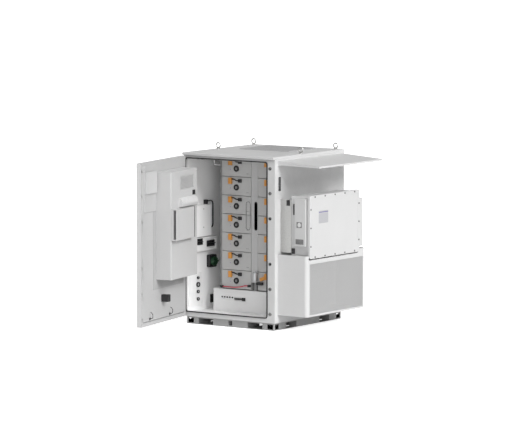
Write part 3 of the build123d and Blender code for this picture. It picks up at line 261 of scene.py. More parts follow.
def moulded_plastic(name, colour, gloss=0.42, grain=420.0):
    """Moulded plastic with a fine eroded grain and worn, paler patches at random."""
    g = Graph(name)
    grain_value = g.noise(grain, 3.0, 0.6)
    wear = g.noise(22.0, 5.0, 0.65)
    paler = tuple(min(1.0, c * 1.25 + 0.012) for c in colour)
    tone = g.mix((wear * 2.4 - 1.1).clamped() * 0.55, colour, paler)
    return g.finish(Base_Color=tone, Roughness=gloss + (wear - 0.5) * 0.2,
                    Normal=g.bump(grain_value, 0.12, 0.0004))


def rubber(name, colour):
    """Matt rubber with a dry bloom."""
    g = Graph(name)
    bloom = g.noise(48.0, 4.0, 0.6)
    tone = g.mix((bloom * 2.0 - 0.9).clamped() * 0.5, colour, tuple(c + 0.02 for c in colour))
    return g.finish(Base_Color=tone, Roughness=0.72 + (bloom - 0.5) * 0.2,
                    Normal=g.bump(g.noise(700.0), 0.15, 0.0004))


def cable_sheath(name, colour):
    """Extruded cable sheath: soft sheen and faint rings."""
    g = Graph(name)
    rings = g.noise(180.0, 2.0)
    tone = g.mix(rings * 0.4, colour, tuple(min(1.0, c * 1.3 + 0.01) for c in colour))
    return g.finish(Base_Color=tone, Roughness=0.38 + rings * 0.15,
                    Normal=g.bump(rings, 0.08, 0.0005))


def cast_fin(name, colour):
    """Cast and blasted aluminium."""
    g = Graph(name)
    grain = g.noise(300.0, 4.0, 0.7)
    tone = g.mix(grain, shade(colour, 0.85), shade(colour, 1.1))
    return g.finish(Base_Color=tone, Metallic=0.85, Roughness=0.48 + grain * 0.15,
                    Normal=g.bump(grain, 0.2, 0.0005))


def display_panel(name, colour):
    """Grey membrane panel with a narrow violet line near its top."""
    g = Graph(name)
    lo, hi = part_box("inverter_display")
    height = g.node("ShaderNodeSeparateXYZ", {}, {"Vector": g.place()}, 2)
    level = (height - lo.z) * (1.0 / (hi.z - lo.z))
    window = (level > 0.87) * (level < 0.93)
    tone = g.mix(window, colour, DISPLAY_LINE)
    return g.finish(Base_Color=tone, Roughness=0.30 - window * 0.15, Coat_Weight=0.2)


def perforated_sheet(name, colour, pitch, hole):
    """Powder-coated sheet with staggered round holes, cut by alpha on the sheet's Y and Z."""
    g = Graph(name)
    coords = g.place()
    across = g.node("ShaderNodeSeparateXYZ", {}, {"Vector": coords}, 1)
    up = g.node("ShaderNodeSeparateXYZ", {}, {"Vector": coords}, 2)
    row = pitch * math.sqrt(3.0)
    above_zero = 10.0                    # metres, so that neither coordinate falls below zero

    def to_centre(along, half):
        return g.node("ShaderNodeMath", {"operation": "PINGPONG"}, {0: along, 1: half})

    def hole_field(shift):
        u = to_centre(across + (above_zero + shift * pitch / 2), pitch / 2)
        v = to_centre(up + (above_zero + shift * row / 2), row / 2)
        return (u * u + v * v) > hole * hole

    solid = hole_field(0) * hole_field(1)
    cloud = g.noise(3.0, 3.0)
    tone = g.mix(cloud, shade(colour, 0.96), colour)
    return g.finish(Base_Color=tone, Roughness=0.5, Alpha=solid)


def coat_with_painted_light_inside(name, node, depth, colour, inner):
    """Powder coat outside; deeper than a skin inside the node's envelope, a second tone that is painted light:
    darker for painted shade, paler for painted light.
    """
    g = Graph(name)
    lo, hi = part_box(node)
    inside = None
    for axis in (0, 1):
        along = g.node("ShaderNodeSeparateXYZ", {}, {"Vector": g.place()}, axis)
        clear = (along > lo[axis] + depth) * (along < hi[axis] - depth)
        inside = clear if inside is None else inside * clear
    grime = g.noise(14.0, 5.0, 0.6)
    coat = g.mix((grime * 2.0 - 0.8).clamped() * 0.4, colour, shade(colour, 0.82))
    # Painted light: inside the envelope the inner tone replaces the coat, standing in for the shade in the
    # plinth's pockets and for the light on the bay's walls
    tone = g.mix(inside, coat, inner)
    peel = g.noise(420.0, 2.0)
    return g.finish(Base_Color=tone, Roughness=0.52 + inside * 0.3,
                    Normal=g.bump(peel, 0.1, 0.0006))


def setting_names(group):
    """The user settings in a property group."""
    return [key for key in group.bl_rna.properties.keys() if key not in ("rna_type", "name")]


def build_finishes():
    """All finishes by slot name."""
    colours = bpy.context.scene.cabinet_finish
    sizes = bpy.context.scene.cabinet_sizes
    col = {key: tuple(getattr(colours, key)) for key in setting_names(colours)}
    return {
        "cabinet_paint": powder_coat("cabinet_coat", col["shell"]),
        "inner_paint": powder_coat("inner_coat", col["inside"], 0.8, 0.42),
        # The plinth's inside wears the pocket tone: painted shade in its fork pockets
        "base_paint": coat_with_painted_light_inside("plinth_coat", "base_plinth", PLINTH_SKIN, col["plinth"],
                                    col["pocket"]),
        # The shell's inside wears the bay tone: painted light
        "shell_coat": coat_with_painted_light_inside("shell_coat", "body_shell", SHELL_SKIN, col["shell"],
                                    col["bright"]),
        "bay_light_finish": powder_coat("bay_coat", col["bright"], 0.8, 0.42),
        "module_paint": powder_coat("module_coat", col["module"], 0.9, 0.5),
        "white_metal": powder_coat("inverter_coat", col["white"], 0.9, 0.44),
        "white_plastic": moulded_plastic("white_plastic", shade(col["white"], 0.98), 0.4),
        "zinc": plated_steel("zinc_plate", col["zinc"]),
        "eye_steel": plated_steel("eye_plate", shade(col["zinc"], 1.1)),
        "seal_rubber": rubber("seal_rubber", col["rubber"]),
        "black_plastic": moulded_plastic("black_plastic", col["black"]),
        "orange_plastic": moulded_plastic("orange_plastic", col["orange"], 0.35),
        "green_plastic": moulded_plastic("green_plastic", col["green"], 0.35),
        "violet_plastic": moulded_plastic("violet_plastic", col["violet"], 0.35),
        "aluminium": cast_fin("cast_aluminium", FIN_GREY),
        "red_cable": cable_sheath("red_sheath", col["red"]),
        "black_cable": cable_sheath("black_sheath", col["black"]),
        "display_glass": display_panel("display_panel", col["display"]),
        "light_bar": moulded_plastic("light_cover", LIGHT_COVER, 0.18, 40.0),
        "rack_shaded_finish": powder_coat("rack_coat", col["post"]),
        "vent_coat": powder_coat("vent_coat", col["vent"]),
        "foam": rubber("foam_strip", col["foam"]),
        "liner_coat": powder_coat("liner_coat", col["liner"], 0.8, 0.42),
        "box_coat": powder_coat("box_coat", col["box"], 0.8, 0.42),
        "fittings": moulded_plastic("grey_fittings", col["fittings"]),
        "perforated": perforated_sheet("perforated_sheet", col["guard"], sizes.mesh_pitch,
                                       sizes.mesh_hole),
    }


FINISHES = {}                            # filled by the first operator
OWN_FINISH = {                           # nodes whose finish isn't that of their slot
    # The next five nodes wear painted light: the bay tone, on the shell only inside
    "ceiling_bracket": "bay_light_finish",
    "body_shell": "shell_coat",
    "control_box": "bay_light_finish",
    "socket_panel": "bay_light_finish",
    "breaker_unit": "bay_light_finish",
    "door_liner": "liner_coat",
    "high_voltage_box": "box_coat",
    # The rack wears a grey that is partly painted shade
    "rack_frame": "rack_shaded_finish",
    "roof_vent_panel": "vent_coat",
    # The gasket's grey is partly painted shade of the recess round the air conditioner
    "ac_gasket": "foam",
    "dc_switch_knob": "white_plastic",
    "cable_glands": "foam",
}


def slot_of(node):
    """The node's material slot in the record."""
    return next(p["material_slot"] for p in frame["record"]["subparts"] if p["node"] == node)


def finish_of(node):
    """The finish that a node wears: its own, or that of its slot."""
    return FINISHES[OWN_FINISH.get(node, slot_of(node))]


# ---------------------------------------------------------------- mesh helpers
def new_piece(name, bm, finish, body):
    """A finished object from a bmesh, riding on a body."""
    bmesh.ops.remove_doubles(bm, verts=bm.verts, dist=WELD)
    bmesh.ops.recalc_face_normals(bm, faces=bm.faces)
    mesh = bpy.data.meshes.new(name)
    bm.to_mesh(mesh)
    bm.free()
    obj = bpy.data.objects.new(name, mesh)
    bpy.context.scene.collection.objects.link(obj)
    mesh.materials.append(FINISHES[finish])
    mesh.shade_smooth()
    mesh.set_sharp_from_angle(angle=PIECE_SHARP)
    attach(obj, body)
    return obj


def add_block(bm, lo, hi, edge=0.0):
    """A bevelled block between two corners, joined into a bmesh."""
    lo, hi = Vector(lo), Vector(hi)
    size, mid = hi - lo, (hi + lo) / 2
    part = bmesh.new()
    bmesh.ops.create_cube(part, size=1.0,
                          matrix=Matrix.Translation(mid) @ Matrix.Diagonal((*size, 1.0)))
    if edge > 0:
        bmesh.ops.bevel(part, geom=part.edges[:], offset=min(edge, min(size) * 0.45), segments=2,
                        profile=0.5, affect="EDGES", material=-1)
    join(bm, part)


def add_turned(bm, profile, origin, axis, steps=24):
    """A turned piece: (radius, height) pairs spun round an axis."""
    part = bmesh.new()
    verts = [part.verts.new((max(r, 0.0), 0, h)) for r, h in profile]
    for a, b in zip(verts, verts[1:]):
        part.edges.new((a, b))
    bmesh.ops.spin(part, geom=part.verts[:] + part.edges[:], cent=(0, 0, 0), axis=(0, 0, 1),
                   dvec=(0, 0, 0), angle=math.tau, steps=steps, use_merge=True, use_duplicate=False)
    bmesh.ops.remove_doubles(part, verts=part.verts, dist=WELD)
    turn = Vector(axis).to_track_quat("Z", "Y").to_matrix().to_4x4()
    bmesh.ops.transform(part, matrix=Matrix.Translation(Vector(origin)) @ turn, verts=part.verts)
    join(bm, part)


def add_oblong(bm, origin, half_length, radius, thickness, steps=12, sides=8):
    """A round bar bent to an upright oblong that faces -Y."""
    centre = Vector(origin)
    path = []
    for end, start in ((1, 0.0), (-1, math.pi)):
        for step in range(steps + 1):
            turn = start + math.pi * step / steps
            rise = end * half_length + radius * math.sin(turn)
            path.append(centre + X * radius * math.cos(turn) + Z * rise)
    part = bmesh.new()
    rings = []
    for point in path:
        nearest = Z * max(-half_length, min(half_length, (point - centre).z))
        out = (point - centre - nearest).normalized()
        rings.append([part.verts.new(point + (out * math.cos(a) + Y * math.sin(a)) * thickness)
                      for a in (k * math.tau / sides for k in range(sides))])
    for one, two in zip(rings, rings[1:] + rings[:1]):
        for k in range(sides):
            after = (k + 1) % sides
            part.faces.new((one[k], one[after], two[after], two[k]))
    join(bm, part)


def join(bm, part):
    """Adds one bmesh to another."""
    mesh = bpy.data.meshes.new("joining")
    part.to_mesh(mesh)
    part.free()
    bm.from_mesh(mesh)
    bpy.data.meshes.remove(mesh)


def add_screw(bm, origin, axis, radius, height):
    """Washer head screw with a round driver recess."""
    recess, dome, rim = height * 0.45, height * 0.72, height * 0.28
    profile = [(0, recess), (radius * 0.36, recess), (radius * 0.42, height),
               (radius * 0.66, height), (radius * 0.80, dome), (radius * 0.84, height * 0.34),
               (radius, rim), (radius, 0), (0, 0)]
    add_turned(bm, profile, origin, axis, 20)


def on_door(point):
    """A place on the closed door, carried to where the door stands at rest."""
    swing = Matrix.Rotation(-OPEN_ANGLE, 4, "Z")
    return Matrix.Translation(HINGE) @ swing @ Matrix.Translation(-HINGE) @ Vector(point)


def soften(node, edge, body):
    """Copy of a CAD node with welded faces and a small rolled edge, in the node's place."""
    source = frame["nodes"][node]
    bm = bmesh.new()
    bm.from_mesh(source.data)
    bmesh.ops.remove_doubles(bm, verts=bm.verts, dist=CAD_WELD)
    bmesh.ops.dissolve_limit(bm, angle_limit=math.radians(1.0), verts=bm.verts, edges=bm.edges)
    mesh = bpy.data.meshes.new(node + "_sheet")
    bm.to_mesh(mesh)
    bm.free()
    obj = bpy.data.objects.new(node + "_sheet", mesh)
    bpy.context.scene.collection.objects.link(obj)
    mesh.materials.append(finish_of(node))
    bevel = obj.modifiers.new("rolled_edge", "BEVEL")
    bevel.width, bevel.segments, bevel.limit_method = edge, 2, "ANGLE"
    bevel.angle_limit, bevel.use_clamp_overlap, bevel.harden_normals = SHEET_SHARP, True, True
    mesh.shade_smooth()
    mesh.set_sharp_from_angle(angle=SHEET_SHARP)
    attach(obj, body)
    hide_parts(node)
    return obj


def body_of_node(node):
    """The body that carries a node."""
    bodies = frame["record"]["behaviour"]["bodies"]
    return next(body for body, nodes in bodies.items() if node in nodes)


# ---------------------------------------------------------------- operators
class CABINET_OT_finishes(bpy.types.Operator):
    """Gives every carried-over CAD node its procedural finish"""

    bl_idname = "cabinet.finishes"
    bl_label = "Finish the CAD nodes"

    def execute(self, context):
        FINISHES.update(build_finishes())
        for node, obj in frame["nodes"].items():
            obj.data.materials.clear()
            obj.data.materials.append(finish_of(node))
        return {"FINISHED"}


class CABINET_OT_sheet_edges(bpy.types.Operator):
    """Rolls the edges of the sheet-metal and moulded nodes"""

    bl_idname = "cabinet.sheet_edges"
    bl_label = "Roll the sheet edges"

    FINE_SHARE = 0.6                     # small mouldings take this share of the sheet edge radius
    FINE = ("orange_connectors", "module_plugs", "isolator_housing", "isolator_knob",
            "dc_switch_knob", "lock_handle", "ac_controller", "main_breaker_lever",
            "breaker_lever_front", "breaker_lever_back")
    SHEET = ("roof_cover", "canopy", "guard_skirt", "front_frame", "inverter_body", "switch_box",
             "fan_tray", "control_box", "breaker_unit", "high_voltage_box", "door_leaf",
             "ac_housing", "body_shell", "base_plinth", "socket_panel", "door_terminal_box",
             "roof_vent_panel", "ac_outer_louvre")

    def execute(self, context):
        edge = context.scene.cabinet_sizes.edge
        for node in self.SHEET:
            soften(node, edge, body_of_node(node))
        for node in self.FINE:
            soften(node, edge * self.FINE_SHARE, body_of_node(node))
        return {"FINISHED"}


class CABINET_OT_cover_screws(bpy.types.Operator):
    """Washer head screws round the inverter cover"""

    bl_idname = "cabinet.cover_screws"
    bl_label = "Inverter cover screws"

    INSET = 20 * MM                      # screws from the cover's edges
    ALONG = (5, 0.108, 0.2145)           # upper and lower row: count, first from the front, pitch
    UPRIGHT = (3, 0.150, 0.2225)         # side rows: count, first from the foot, pitch
    WASHER = 1.5                         # washer radius over head radius

    def execute(self, context):
        sizes = context.scene.cabinet_sizes
        lo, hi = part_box("inverter_cover")
        bm = bmesh.new()
        spots = []
        count, first, pitch = self.ALONG
        for step in range(count):
            y = lo.y + first + step * pitch
            spots += [(y, lo.z + self.INSET), (y, hi.z - self.INSET)]
        count, first, pitch = self.UPRIGHT
        for step in range(count):
            z = lo.z + first + step * pitch
            spots += [(lo.y + self.INSET, z), (hi.y - self.INSET, z)]
        for y, z in spots:
            add_screw(bm, (hi.x, y, z), X, sizes.screw_radius * self.WASHER, sizes.screw_height)
        new_piece("cover_screws", bm, "black_plastic", "cabinet")
        return {"FINISHED"}


class CABINET_OT_guard_mesh(bpy.types.Operator):
    """Finely perforated sheet in the guard"""

    bl_idname = "cabinet.guard_mesh"
    bl_label = "Guard perforation"

    def execute(self, context):
        lo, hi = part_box("perforated_panel")
        bm = bmesh.new()
        stretch = Matrix.Diagonal((1, hi.y - lo.y, hi.z - lo.z, 1))
        upright = Matrix.Rotation(math.pi / 2, 4, "Y")
        bmesh.ops.create_grid(bm, x_segments=12, y_segments=8, size=0.5,
                              matrix=Matrix.Translation((lo + hi) / 2) @ stretch @ upright)
        panel = new_piece("guard_mesh", bm, "perforated", "cabinet")
        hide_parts("perforated_panel")
        return {"FINISHED"}


class CABINET_OT_module_fascias(bpy.types.Operator):
    """Corner screws, small lights and signal jacks on each module"""

    bl_idname = "cabinet.module_fascias"
    bl_label = "Module fascias"

    CORNER_IN, CORNER_UP = 14 * MM, 16 * MM  # corner screws from the module's edges
    SCREW = (5.5 * MM, 2.5 * MM)             # head radius and height
    LIGHTS, LIGHT_PITCH = 3, 12 * MM
    LIGHT_IN, LIGHT_UP = 60 * MM, 40 * MM    # first light from the right edge, and above the foot
    LIGHT_PROFILE = [(0, 2.2 * MM), (2.4 * MM, 1.8 * MM), (3.2 * MM, 0), (0, 0)]
    WHITE_JACK_UP, VIOLET_JACK_UP = 104 * MM, 84 * MM
    JACK_PROFILE = [(0, 5 * MM), (3.5 * MM, 5 * MM), (4.5 * MM, 4 * MM), (4.5 * MM, 0), (0, 0)]

    def execute(self, context):
        for side in ("left", "right"):
            lo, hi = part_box("battery_modules_" + side)
            screws, lights, white_jacks, violet_jacks = (bmesh.new() for _ in range(4))
            for level in range(MODULES):
                z = lo.z + level * MODULE_PITCH
                for x in (lo.x + self.CORNER_IN, hi.x - self.CORNER_IN):
                    for up in (z + self.CORNER_UP, z + MODULE_HEIGHT - self.CORNER_UP):
                        add_screw(screws, (x, lo.y, up), -Y, *self.SCREW)
                for step in range(self.LIGHTS):
                    x = hi.x - self.LIGHT_IN + step * self.LIGHT_PITCH
                    add_turned(lights, self.LIGHT_PROFILE, (x, lo.y, z + self.LIGHT_UP), -Y, 12)
                x = lo.x + JACK_FROM_EDGE
                for jacks, up in ((white_jacks, self.WHITE_JACK_UP),
                                  (violet_jacks, self.VIOLET_JACK_UP)):
                    add_turned(jacks, self.JACK_PROFILE, (x, lo.y, z + up), -Y, 14)
            new_piece("fascia_screws_" + side, screws, "zinc", "cabinet")
            new_piece("fascia_lights_" + side, lights, "black_plastic", "cabinet")
            new_piece("white_jacks_" + side, white_jacks, "white_plastic", "cabinet")
            new_piece("violet_jacks_" + side, violet_jacks, "violet_plastic", "cabinet")
        return {"FINISHED"}


class CABINET_OT_breaker_poles(bpy.types.Operator):
    """Breaker poles behind the two windows of the breaker unit"""

    bl_idname = "cabinet.breaker_poles"
    bl_label = "Breaker poles"

    INSET = 4 * MM                       # first pole from the lever's end
    NEAR, FAR = 7 * MM, 38 * MM          # a pole's ends from the middle of its lever
    DEEP, SHALLOW = 17 * MM, 6 * MM      # back and front of a pole behind the unit's face
    FILL = 0.92                          # pole width over pitch

    def execute(self, context):
        width = context.scene.cabinet_sizes.breaker_width
        for name in ("front", "back"):
            lo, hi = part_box("breaker_lever_" + name)
            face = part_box("breaker_unit")[1].x
            middle = (lo.z + hi.z) / 2
            bm = bmesh.new()
            y = lo.y + self.INSET
            while y + width < hi.y:
                for z0, z1 in ((middle + self.NEAR, middle + self.FAR),
                               (middle - self.FAR, middle - self.NEAR)):
                    add_block(bm, (face - self.DEEP, y, z0),
                              (face - self.SHALLOW, y + width * self.FILL, z1), 1.5 * MM)
                y += width
            new_piece("breaker_poles_" + name, bm, "black_plastic", "cabinet")
        return {"FINISHED"}


class CABINET_OT_door_screws(bpy.types.Operator):
    """Screws round the air conditioner, on its duct and on the door liner"""

    bl_idname = "cabinet.door_screws"
    bl_label = "Door screws"

    INNER = -0.762                       # inner face of the closed door
    AC_LEFT, AC_DEPTH = 0.106, 0.200     # air conditioner from the hinge, and into the cabinet
    AC_COLUMNS = (18 * MM, 0.732)        # columns of screws from its left side
    AC_HEIGHTS = (0.670, 0.90, 1.54, 1.66, 1.895)
    DUCT = (4, 0.260, 0.155)             # duct's row: count, first from the same side, pitch
    DUCT_STAND, DUCT_HEIGHT = 3 * MM, 1.489
    LINER_LINE = 1.165                   # column by the door's free edge, from the hinge
    LINER_HEIGHTS = (0.22, 0.56, 0.90, 1.24, 1.58, 1.92)
    SCREW, DUCT_SCREW = (5 * MM, 2.5 * MM), (4.5 * MM, 2.5 * MM)     # head radius and height

    def execute(self, context):
        ac_left = HINGE.x + self.AC_LEFT
        face = self.INNER + self.AC_DEPTH
        bm = bmesh.new()
        normal = on_door(Y) - on_door(Vector((0, 0, 0)))
        for z in self.AC_HEIGHTS:
            for column in self.AC_COLUMNS:
                add_screw(bm, on_door((ac_left + column, face, z)), normal, *self.SCREW)
        count, first, pitch = self.DUCT
        for step in range(count):
            x = ac_left + first + step * pitch
            add_screw(bm, on_door((x, face + self.DUCT_STAND, self.DUCT_HEIGHT)), normal,
                      *self.DUCT_SCREW)
        for z in self.LINER_HEIGHTS:
            add_screw(bm, on_door((HINGE.x + self.LINER_LINE, self.INNER, z)), normal, *self.SCREW)
        new_piece("door_screws", bm, "zinc", "door")
        return {"FINISHED"}


class CABINET_OT_plug_caps(bpy.types.Operator):
    """Grey caps in the service plugs and in the round sockets"""

    bl_idname = "cabinet.plug_caps"
    bl_label = "Plug and socket caps"

    PLUG_PROFILE = [(0, 1.6 * MM), (13 * MM, 1.6 * MM), (16 * MM, 0.8 * MM), (17 * MM, 0), (0, 0)]
    SOCKETS = ((0.542, 17.0), (0.459, 31.0), (0.373, 21.0), (0.282, 21.0))  # height, radius in mm
    CAP_SHARE, CAP_DEPTH = 0.6, 12 * MM  # cap radius over socket radius, and how far it stands out

    def execute(self, context):
        bm = bmesh.new()
        for side in ("left", "right"):
            lo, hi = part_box("battery_modules_" + side)
            for level in range(MODULES):
                z = lo.z + level * MODULE_PITCH + PLUG_HEIGHT
                add_turned(bm, self.PLUG_PROFILE, ((lo.x + hi.x) / 2, lo.y - PLUG_STAND, z), -Y, 28)
        new_piece("plug_caps", bm, "fittings", "cabinet")
        bm = bmesh.new()
        for height, radius in self.SOCKETS:
            cap, depth = radius * self.CAP_SHARE * MM, self.CAP_DEPTH
            profile = [(0, depth), (cap * 0.8, depth), (cap, depth - 2 * MM), (cap, 0), (0, 0)]
            add_turned(bm, profile, (SOCKET_FACE, SOCKET_LINE, height), X, 28)
        new_piece("socket_caps", bm, "inner_paint", "cabinet")
        return {"FINISHED"}


class CABINET_OT_inverter_fittings(bpy.types.Operator):
    """Louvre and switch plate of the switch box, and the dark clips beside the inverter"""

    bl_idname = "cabinet.inverter_fittings"
    bl_label = "Inverter fittings"

    # Plates on the switch box, from its lower left corner: left, right, foot, top, louvre rows
    PLATES = ((0.030, 0.106, 0.224, 0.292, 0), (0.016, 0.130, 0.025, 0.087, 5))
    PLATE_STAND, LOUVRE_STAND, LOUVRE_SINK, LOUVRE_INSET = 1.5 * MM, 5 * MM, 1 * MM, 4 * MM
    LOUVRE_START, LOUVRE_FILL = 0.2, 0.55    # shares of the louvre pitch
    # Clips on the front bracket and on the inverter's side: how far out, left, right, foot, top
    ARM_CLIPS = ((12 * MM, 0.768, 0.808, 1.515, 1.583),)
    BODY_CLIPS = ((14 * MM, 0.866, 0.884, 1.410, 1.540), (14 * MM, 0.842, 0.884, 0.942, 1.006))

    def execute(self, context):
        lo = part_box("switch_box")[0]
        bm = bmesh.new()
        for x0, x1, z0, z1, rows in self.PLATES:
            add_block(bm, (lo.x + x0, lo.y - self.PLATE_STAND, lo.z + z0),
                      (lo.x + x1, lo.y, lo.z + z1), 0.4 * MM)
            for row in range(rows):
                pitch = (z1 - z0) / rows
                z = lo.z + z0 + (row + self.LOUVRE_START) * pitch
                add_block(bm, (lo.x + x0 + self.LOUVRE_INSET, lo.y - self.LOUVRE_STAND, z),
                          (lo.x + x1 - self.LOUVRE_INSET, lo.y - self.LOUVRE_SINK,
                           z + self.LOUVRE_FILL * pitch), 0.8 * MM)
        new_piece("switch_box_vents", bm, "fittings", "cabinet")
        body_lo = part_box("inverter_body")[0]
        arm_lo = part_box("inverter_brackets")[0]
        bm = bmesh.new()
        for y, clips in ((arm_lo.y, self.ARM_CLIPS), (body_lo.y, self.BODY_CLIPS)):
            for stand, x0, x1, z0, z1 in clips:
                add_block(bm, (x0, y - stand, z0), (x1, y, z1), 2 * MM)
        new_piece("inverter_clips", bm, "black_plastic", "cabinet")
        return {"FINISHED"}


class CABINET_OT_box_connectors(bpy.types.Operator):
    """Lower box connectors, control box latches, the tray of the post cover and a black rim on its hoop, which is
    painted shade for the hoop's dark outline
    """

    bl_idname = "cabinet.box_connectors"
    bl_label = "Connectors, latches and cover trim"

    SOCKET_PROFILE = [(0, 9 * MM), (6 * MM, 9 * MM), (7 * MM, 8 * MM), (7 * MM, 3 * MM),
                      (10 * MM, 3 * MM), (10 * MM, 0), (0, 0)]
    ROW, ROW_HEIGHT = (5, -0.335, 0.038), 0.318      # count, first, pitch; height
    BLOCK_GAP, BLOCK_STAND = 8 * MM, 9 * MM          # block right of the main breaker's lever
    BLOCK_RIGHT, BLOCK_FOOT, BLOCK_TOP = 0.012, 0.284, 0.324
    LATCH_LINE, LATCH_HEIGHTS, LATCH = -0.500, (1.165, 1.390), (9 * MM, 5 * MM)
    HOOP_X, HOOP_HEIGHT = 0.057, 1.335               # centre of the hoop
    HOOP = (0.142, 0.030, 2.2 * MM)                  # half length, radius, bar radius
    TRAY = ((0.142, -0.411, 1.158), (0.184, -0.400, 1.512))

    def execute(self, context):
        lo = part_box("high_voltage_box")[0]
        bm = bmesh.new()
        count, first, pitch = self.ROW
        for step in range(count):
            origin = (first + step * pitch, lo.y, self.ROW_HEIGHT)
            add_turned(bm, self.SOCKET_PROFILE, origin, -Y, 18)
        lever_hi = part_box("main_breaker_lever")[1]
        add_block(bm, (lever_hi.x + self.BLOCK_GAP, lo.y - self.BLOCK_STAND, self.BLOCK_FOOT),
                  (self.BLOCK_RIGHT, lo.y, self.BLOCK_TOP), 2 * MM)
        new_piece("box_connectors", bm, "black_plastic", "cabinet")
        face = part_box("control_box")[1].x
        bm = bmesh.new()
        for z in self.LATCH_HEIGHTS:
            add_screw(bm, (face, self.LATCH_LINE, z), X, *self.LATCH)
        new_piece("control_box_latches", bm, "zinc", "cabinet")
        bm = bmesh.new()
        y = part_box("centre_post_cover")[0].y
        # Painted shade: a black rubber bar round the hoop draws its dark outline, which is shade at the hoop's
        # edge
        add_oblong(bm, (self.HOOP_X, y, self.HOOP_HEIGHT), *self.HOOP)
        new_piece("hoop_rim", bm, "seal_rubber", "cabinet")
        bm = bmesh.new()
        add_block(bm, *self.TRAY, 1 * MM)
        # The tray wears the rack grey, partly painted shade
        new_piece("slot_tray", bm, "rack_shaded_finish", "cabinet")
        return {"FINISHED"}


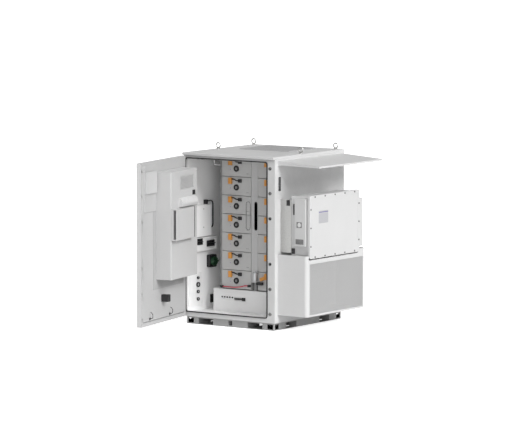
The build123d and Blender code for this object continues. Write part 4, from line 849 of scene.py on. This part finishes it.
class CABINET_OT_stage(bpy.types.Operator):
    """Pale floor, soft light and the camera"""

    bl_idname = "cabinet.stage"
    bl_label = "Studio"

    FLOOR_SIZE, FLOOR_GREY, FLOOR_GLOW = 400.0, (0.78, 0.78, 0.78, 1), 0.7
    WHITE = (1, 1, 1, 1)
    # Suns: name, direction of the light, share of the key strength, angle in degrees
    SUNS = (("key_light", (-0.80, 0.18, -0.50), 0.73, 25.0),
            ("top_light", (-0.15, 0.15, -0.97), 0.30, 60.0),
            ("front_light", (-0.62, 0.77, -0.12), 0.30, 50.0))
    ACROSS, DOWN = 0.0018047, 0.0066811  # the aim point from the picture's middle, per metre away
    SENSOR, CLIP = 36.0, (1.0, 2000.0)   # sensor width in millimetres, clipping in metres

    def execute(self, context):
        studio = context.scene.cabinet_studio
        scene = context.scene
        scene.view_settings.view_transform = "Standard"
        bm = bmesh.new()
        bmesh.ops.create_grid(bm, x_segments=1, y_segments=1, size=self.FLOOR_SIZE)
        mesh = bpy.data.meshes.new("studio_floor")
        bm.to_mesh(mesh)
        bm.free()
        floor = bpy.data.objects.new("studio_floor", mesh)
        scene.collection.objects.link(floor)
        g = Graph("studio_floor")
        camera_ray = g.node("ShaderNodeLightPath", output="Is Camera Ray")
        glossy_ray = g.node("ShaderNodeLightPath", output="Is Glossy Ray")
        seen = (camera_ray + glossy_ray).clamped()
        diffuse = g.node("ShaderNodeBsdfDiffuse", {}, {"Color": self.FLOOR_GREY})
        strength = seen * self.FLOOR_GLOW
        glow = g.node("ShaderNodeEmission", {}, {"Color": self.WHITE, "Strength": strength})
        both = g.node("ShaderNodeAddShader", {}, {0: diffuse, 1: glow})
        g.tree.links.new(both.socket, g.out.inputs["Surface"])
        mesh.materials.append(g.material)

        world = bpy.data.worlds.new("studio_world")
        scene.world = world
        world.use_nodes = True
        tree = world.node_tree
        background = tree.nodes["Background"]
        path = tree.nodes.new("ShaderNodeLightPath")
        white = tree.nodes.new("ShaderNodeMix")
        white.data_type = "FLOAT"
        white.inputs[2].default_value = studio.fill
        white.inputs[3].default_value = 1.0
        tree.links.new(path.outputs["Is Camera Ray"], white.inputs[0])
        tree.links.new(white.outputs[0], background.inputs["Strength"])
        background.inputs["Color"].default_value = self.WHITE

        for name, direction, share, angle in self.SUNS:
            lamp = bpy.data.lights.new(name, "SUN")
            lamp.energy, lamp.angle = studio.key * share, math.radians(angle)
            lamp_object = bpy.data.objects.new(name, lamp)
            lamp_object.rotation_mode = "QUATERNION"
            lamp_object.rotation_quaternion = Vector(direction).to_track_quat("-Z", "Y")
            scene.collection.objects.link(lamp_object)

        yaw, pitch = studio.azimuth, studio.elevation
        right = Vector((math.cos(yaw), math.sin(yaw), 0))
        ahead = Vector((-math.sin(yaw) * math.cos(pitch), math.cos(yaw) * math.cos(pitch),
                        -math.sin(pitch)))
        above = right.cross(ahead)
        place = Vector(studio.aim) - ahead * studio.distance
        look = ahead - right * self.ACROSS + above * self.DOWN
        camera = bpy.data.cameras.new("studio_camera")
        camera.lens, camera.sensor_width = studio.lens, self.SENSOR
        camera.clip_start, camera.clip_end = self.CLIP
        camera_object = bpy.data.objects.new("studio_camera", camera)
        camera_object.location = place
        camera_object.rotation_mode = "QUATERNION"
        camera_object.rotation_quaternion = look.to_track_quat("-Z", "Y")
        scene.collection.objects.link(camera_object)
        scene.camera = camera_object
        return {"FINISHED"}


class CABINET_PT_panel(bpy.types.Panel):
    """Lists the cabinet's operators"""

    bl_label = "Battery cabinet"
    bl_idname = "CABINET_PT_panel"
    bl_space_type = "VIEW_3D"
    bl_region_type = "UI"
    bl_category = "Cabinet"

    def draw(self, context):
        for operator in OPERATORS:
            self.layout.operator(operator.bl_idname)
        for attribute, _group in GROUPS:
            settings = getattr(context.scene, attribute)
            for key in setting_names(settings):
                self.layout.prop(settings, key)


OPERATORS = (CABINET_OT_finishes, CABINET_OT_sheet_edges, CABINET_OT_cover_screws,
             CABINET_OT_guard_mesh, CABINET_OT_module_fascias, CABINET_OT_breaker_poles,
             CABINET_OT_door_screws, CABINET_OT_plug_caps, CABINET_OT_inverter_fittings,
             CABINET_OT_box_connectors, CABINET_OT_stage)
GROUPS = (("cabinet_finish", CabinetFinish), ("cabinet_sizes", CabinetSizes),
          ("cabinet_studio", CabinetStudio))


def register():
    for attribute, group in GROUPS:
        bpy.utils.register_class(group)
        setattr(bpy.types.Scene, attribute, bpy.props.PointerProperty(type=group))
    for operator in OPERATORS:
        bpy.utils.register_class(operator)
    bpy.utils.register_class(CABINET_PT_panel)


def unregister():
    bpy.utils.unregister_class(CABINET_PT_panel)
    for operator in reversed(OPERATORS):
        bpy.utils.unregister_class(operator)
    for attribute, group in reversed(GROUPS):
        delattr(bpy.types.Scene, attribute)
        bpy.utils.unregister_class(group)


def main():
    register()
    bpy.ops.cabinet.finishes()
    bpy.ops.cabinet.sheet_edges()
    bpy.ops.cabinet.cover_screws()
    bpy.ops.cabinet.guard_mesh()
    bpy.ops.cabinet.module_fascias()
    bpy.ops.cabinet.breaker_poles()
    bpy.ops.cabinet.door_screws()
    bpy.ops.cabinet.plug_caps()
    bpy.ops.cabinet.inverter_fittings()
    bpy.ops.cabinet.box_connectors()
    bpy.ops.cabinet.stage()
    bpy.context.view_layer.update()


if __name__ == "__main__":
    main()
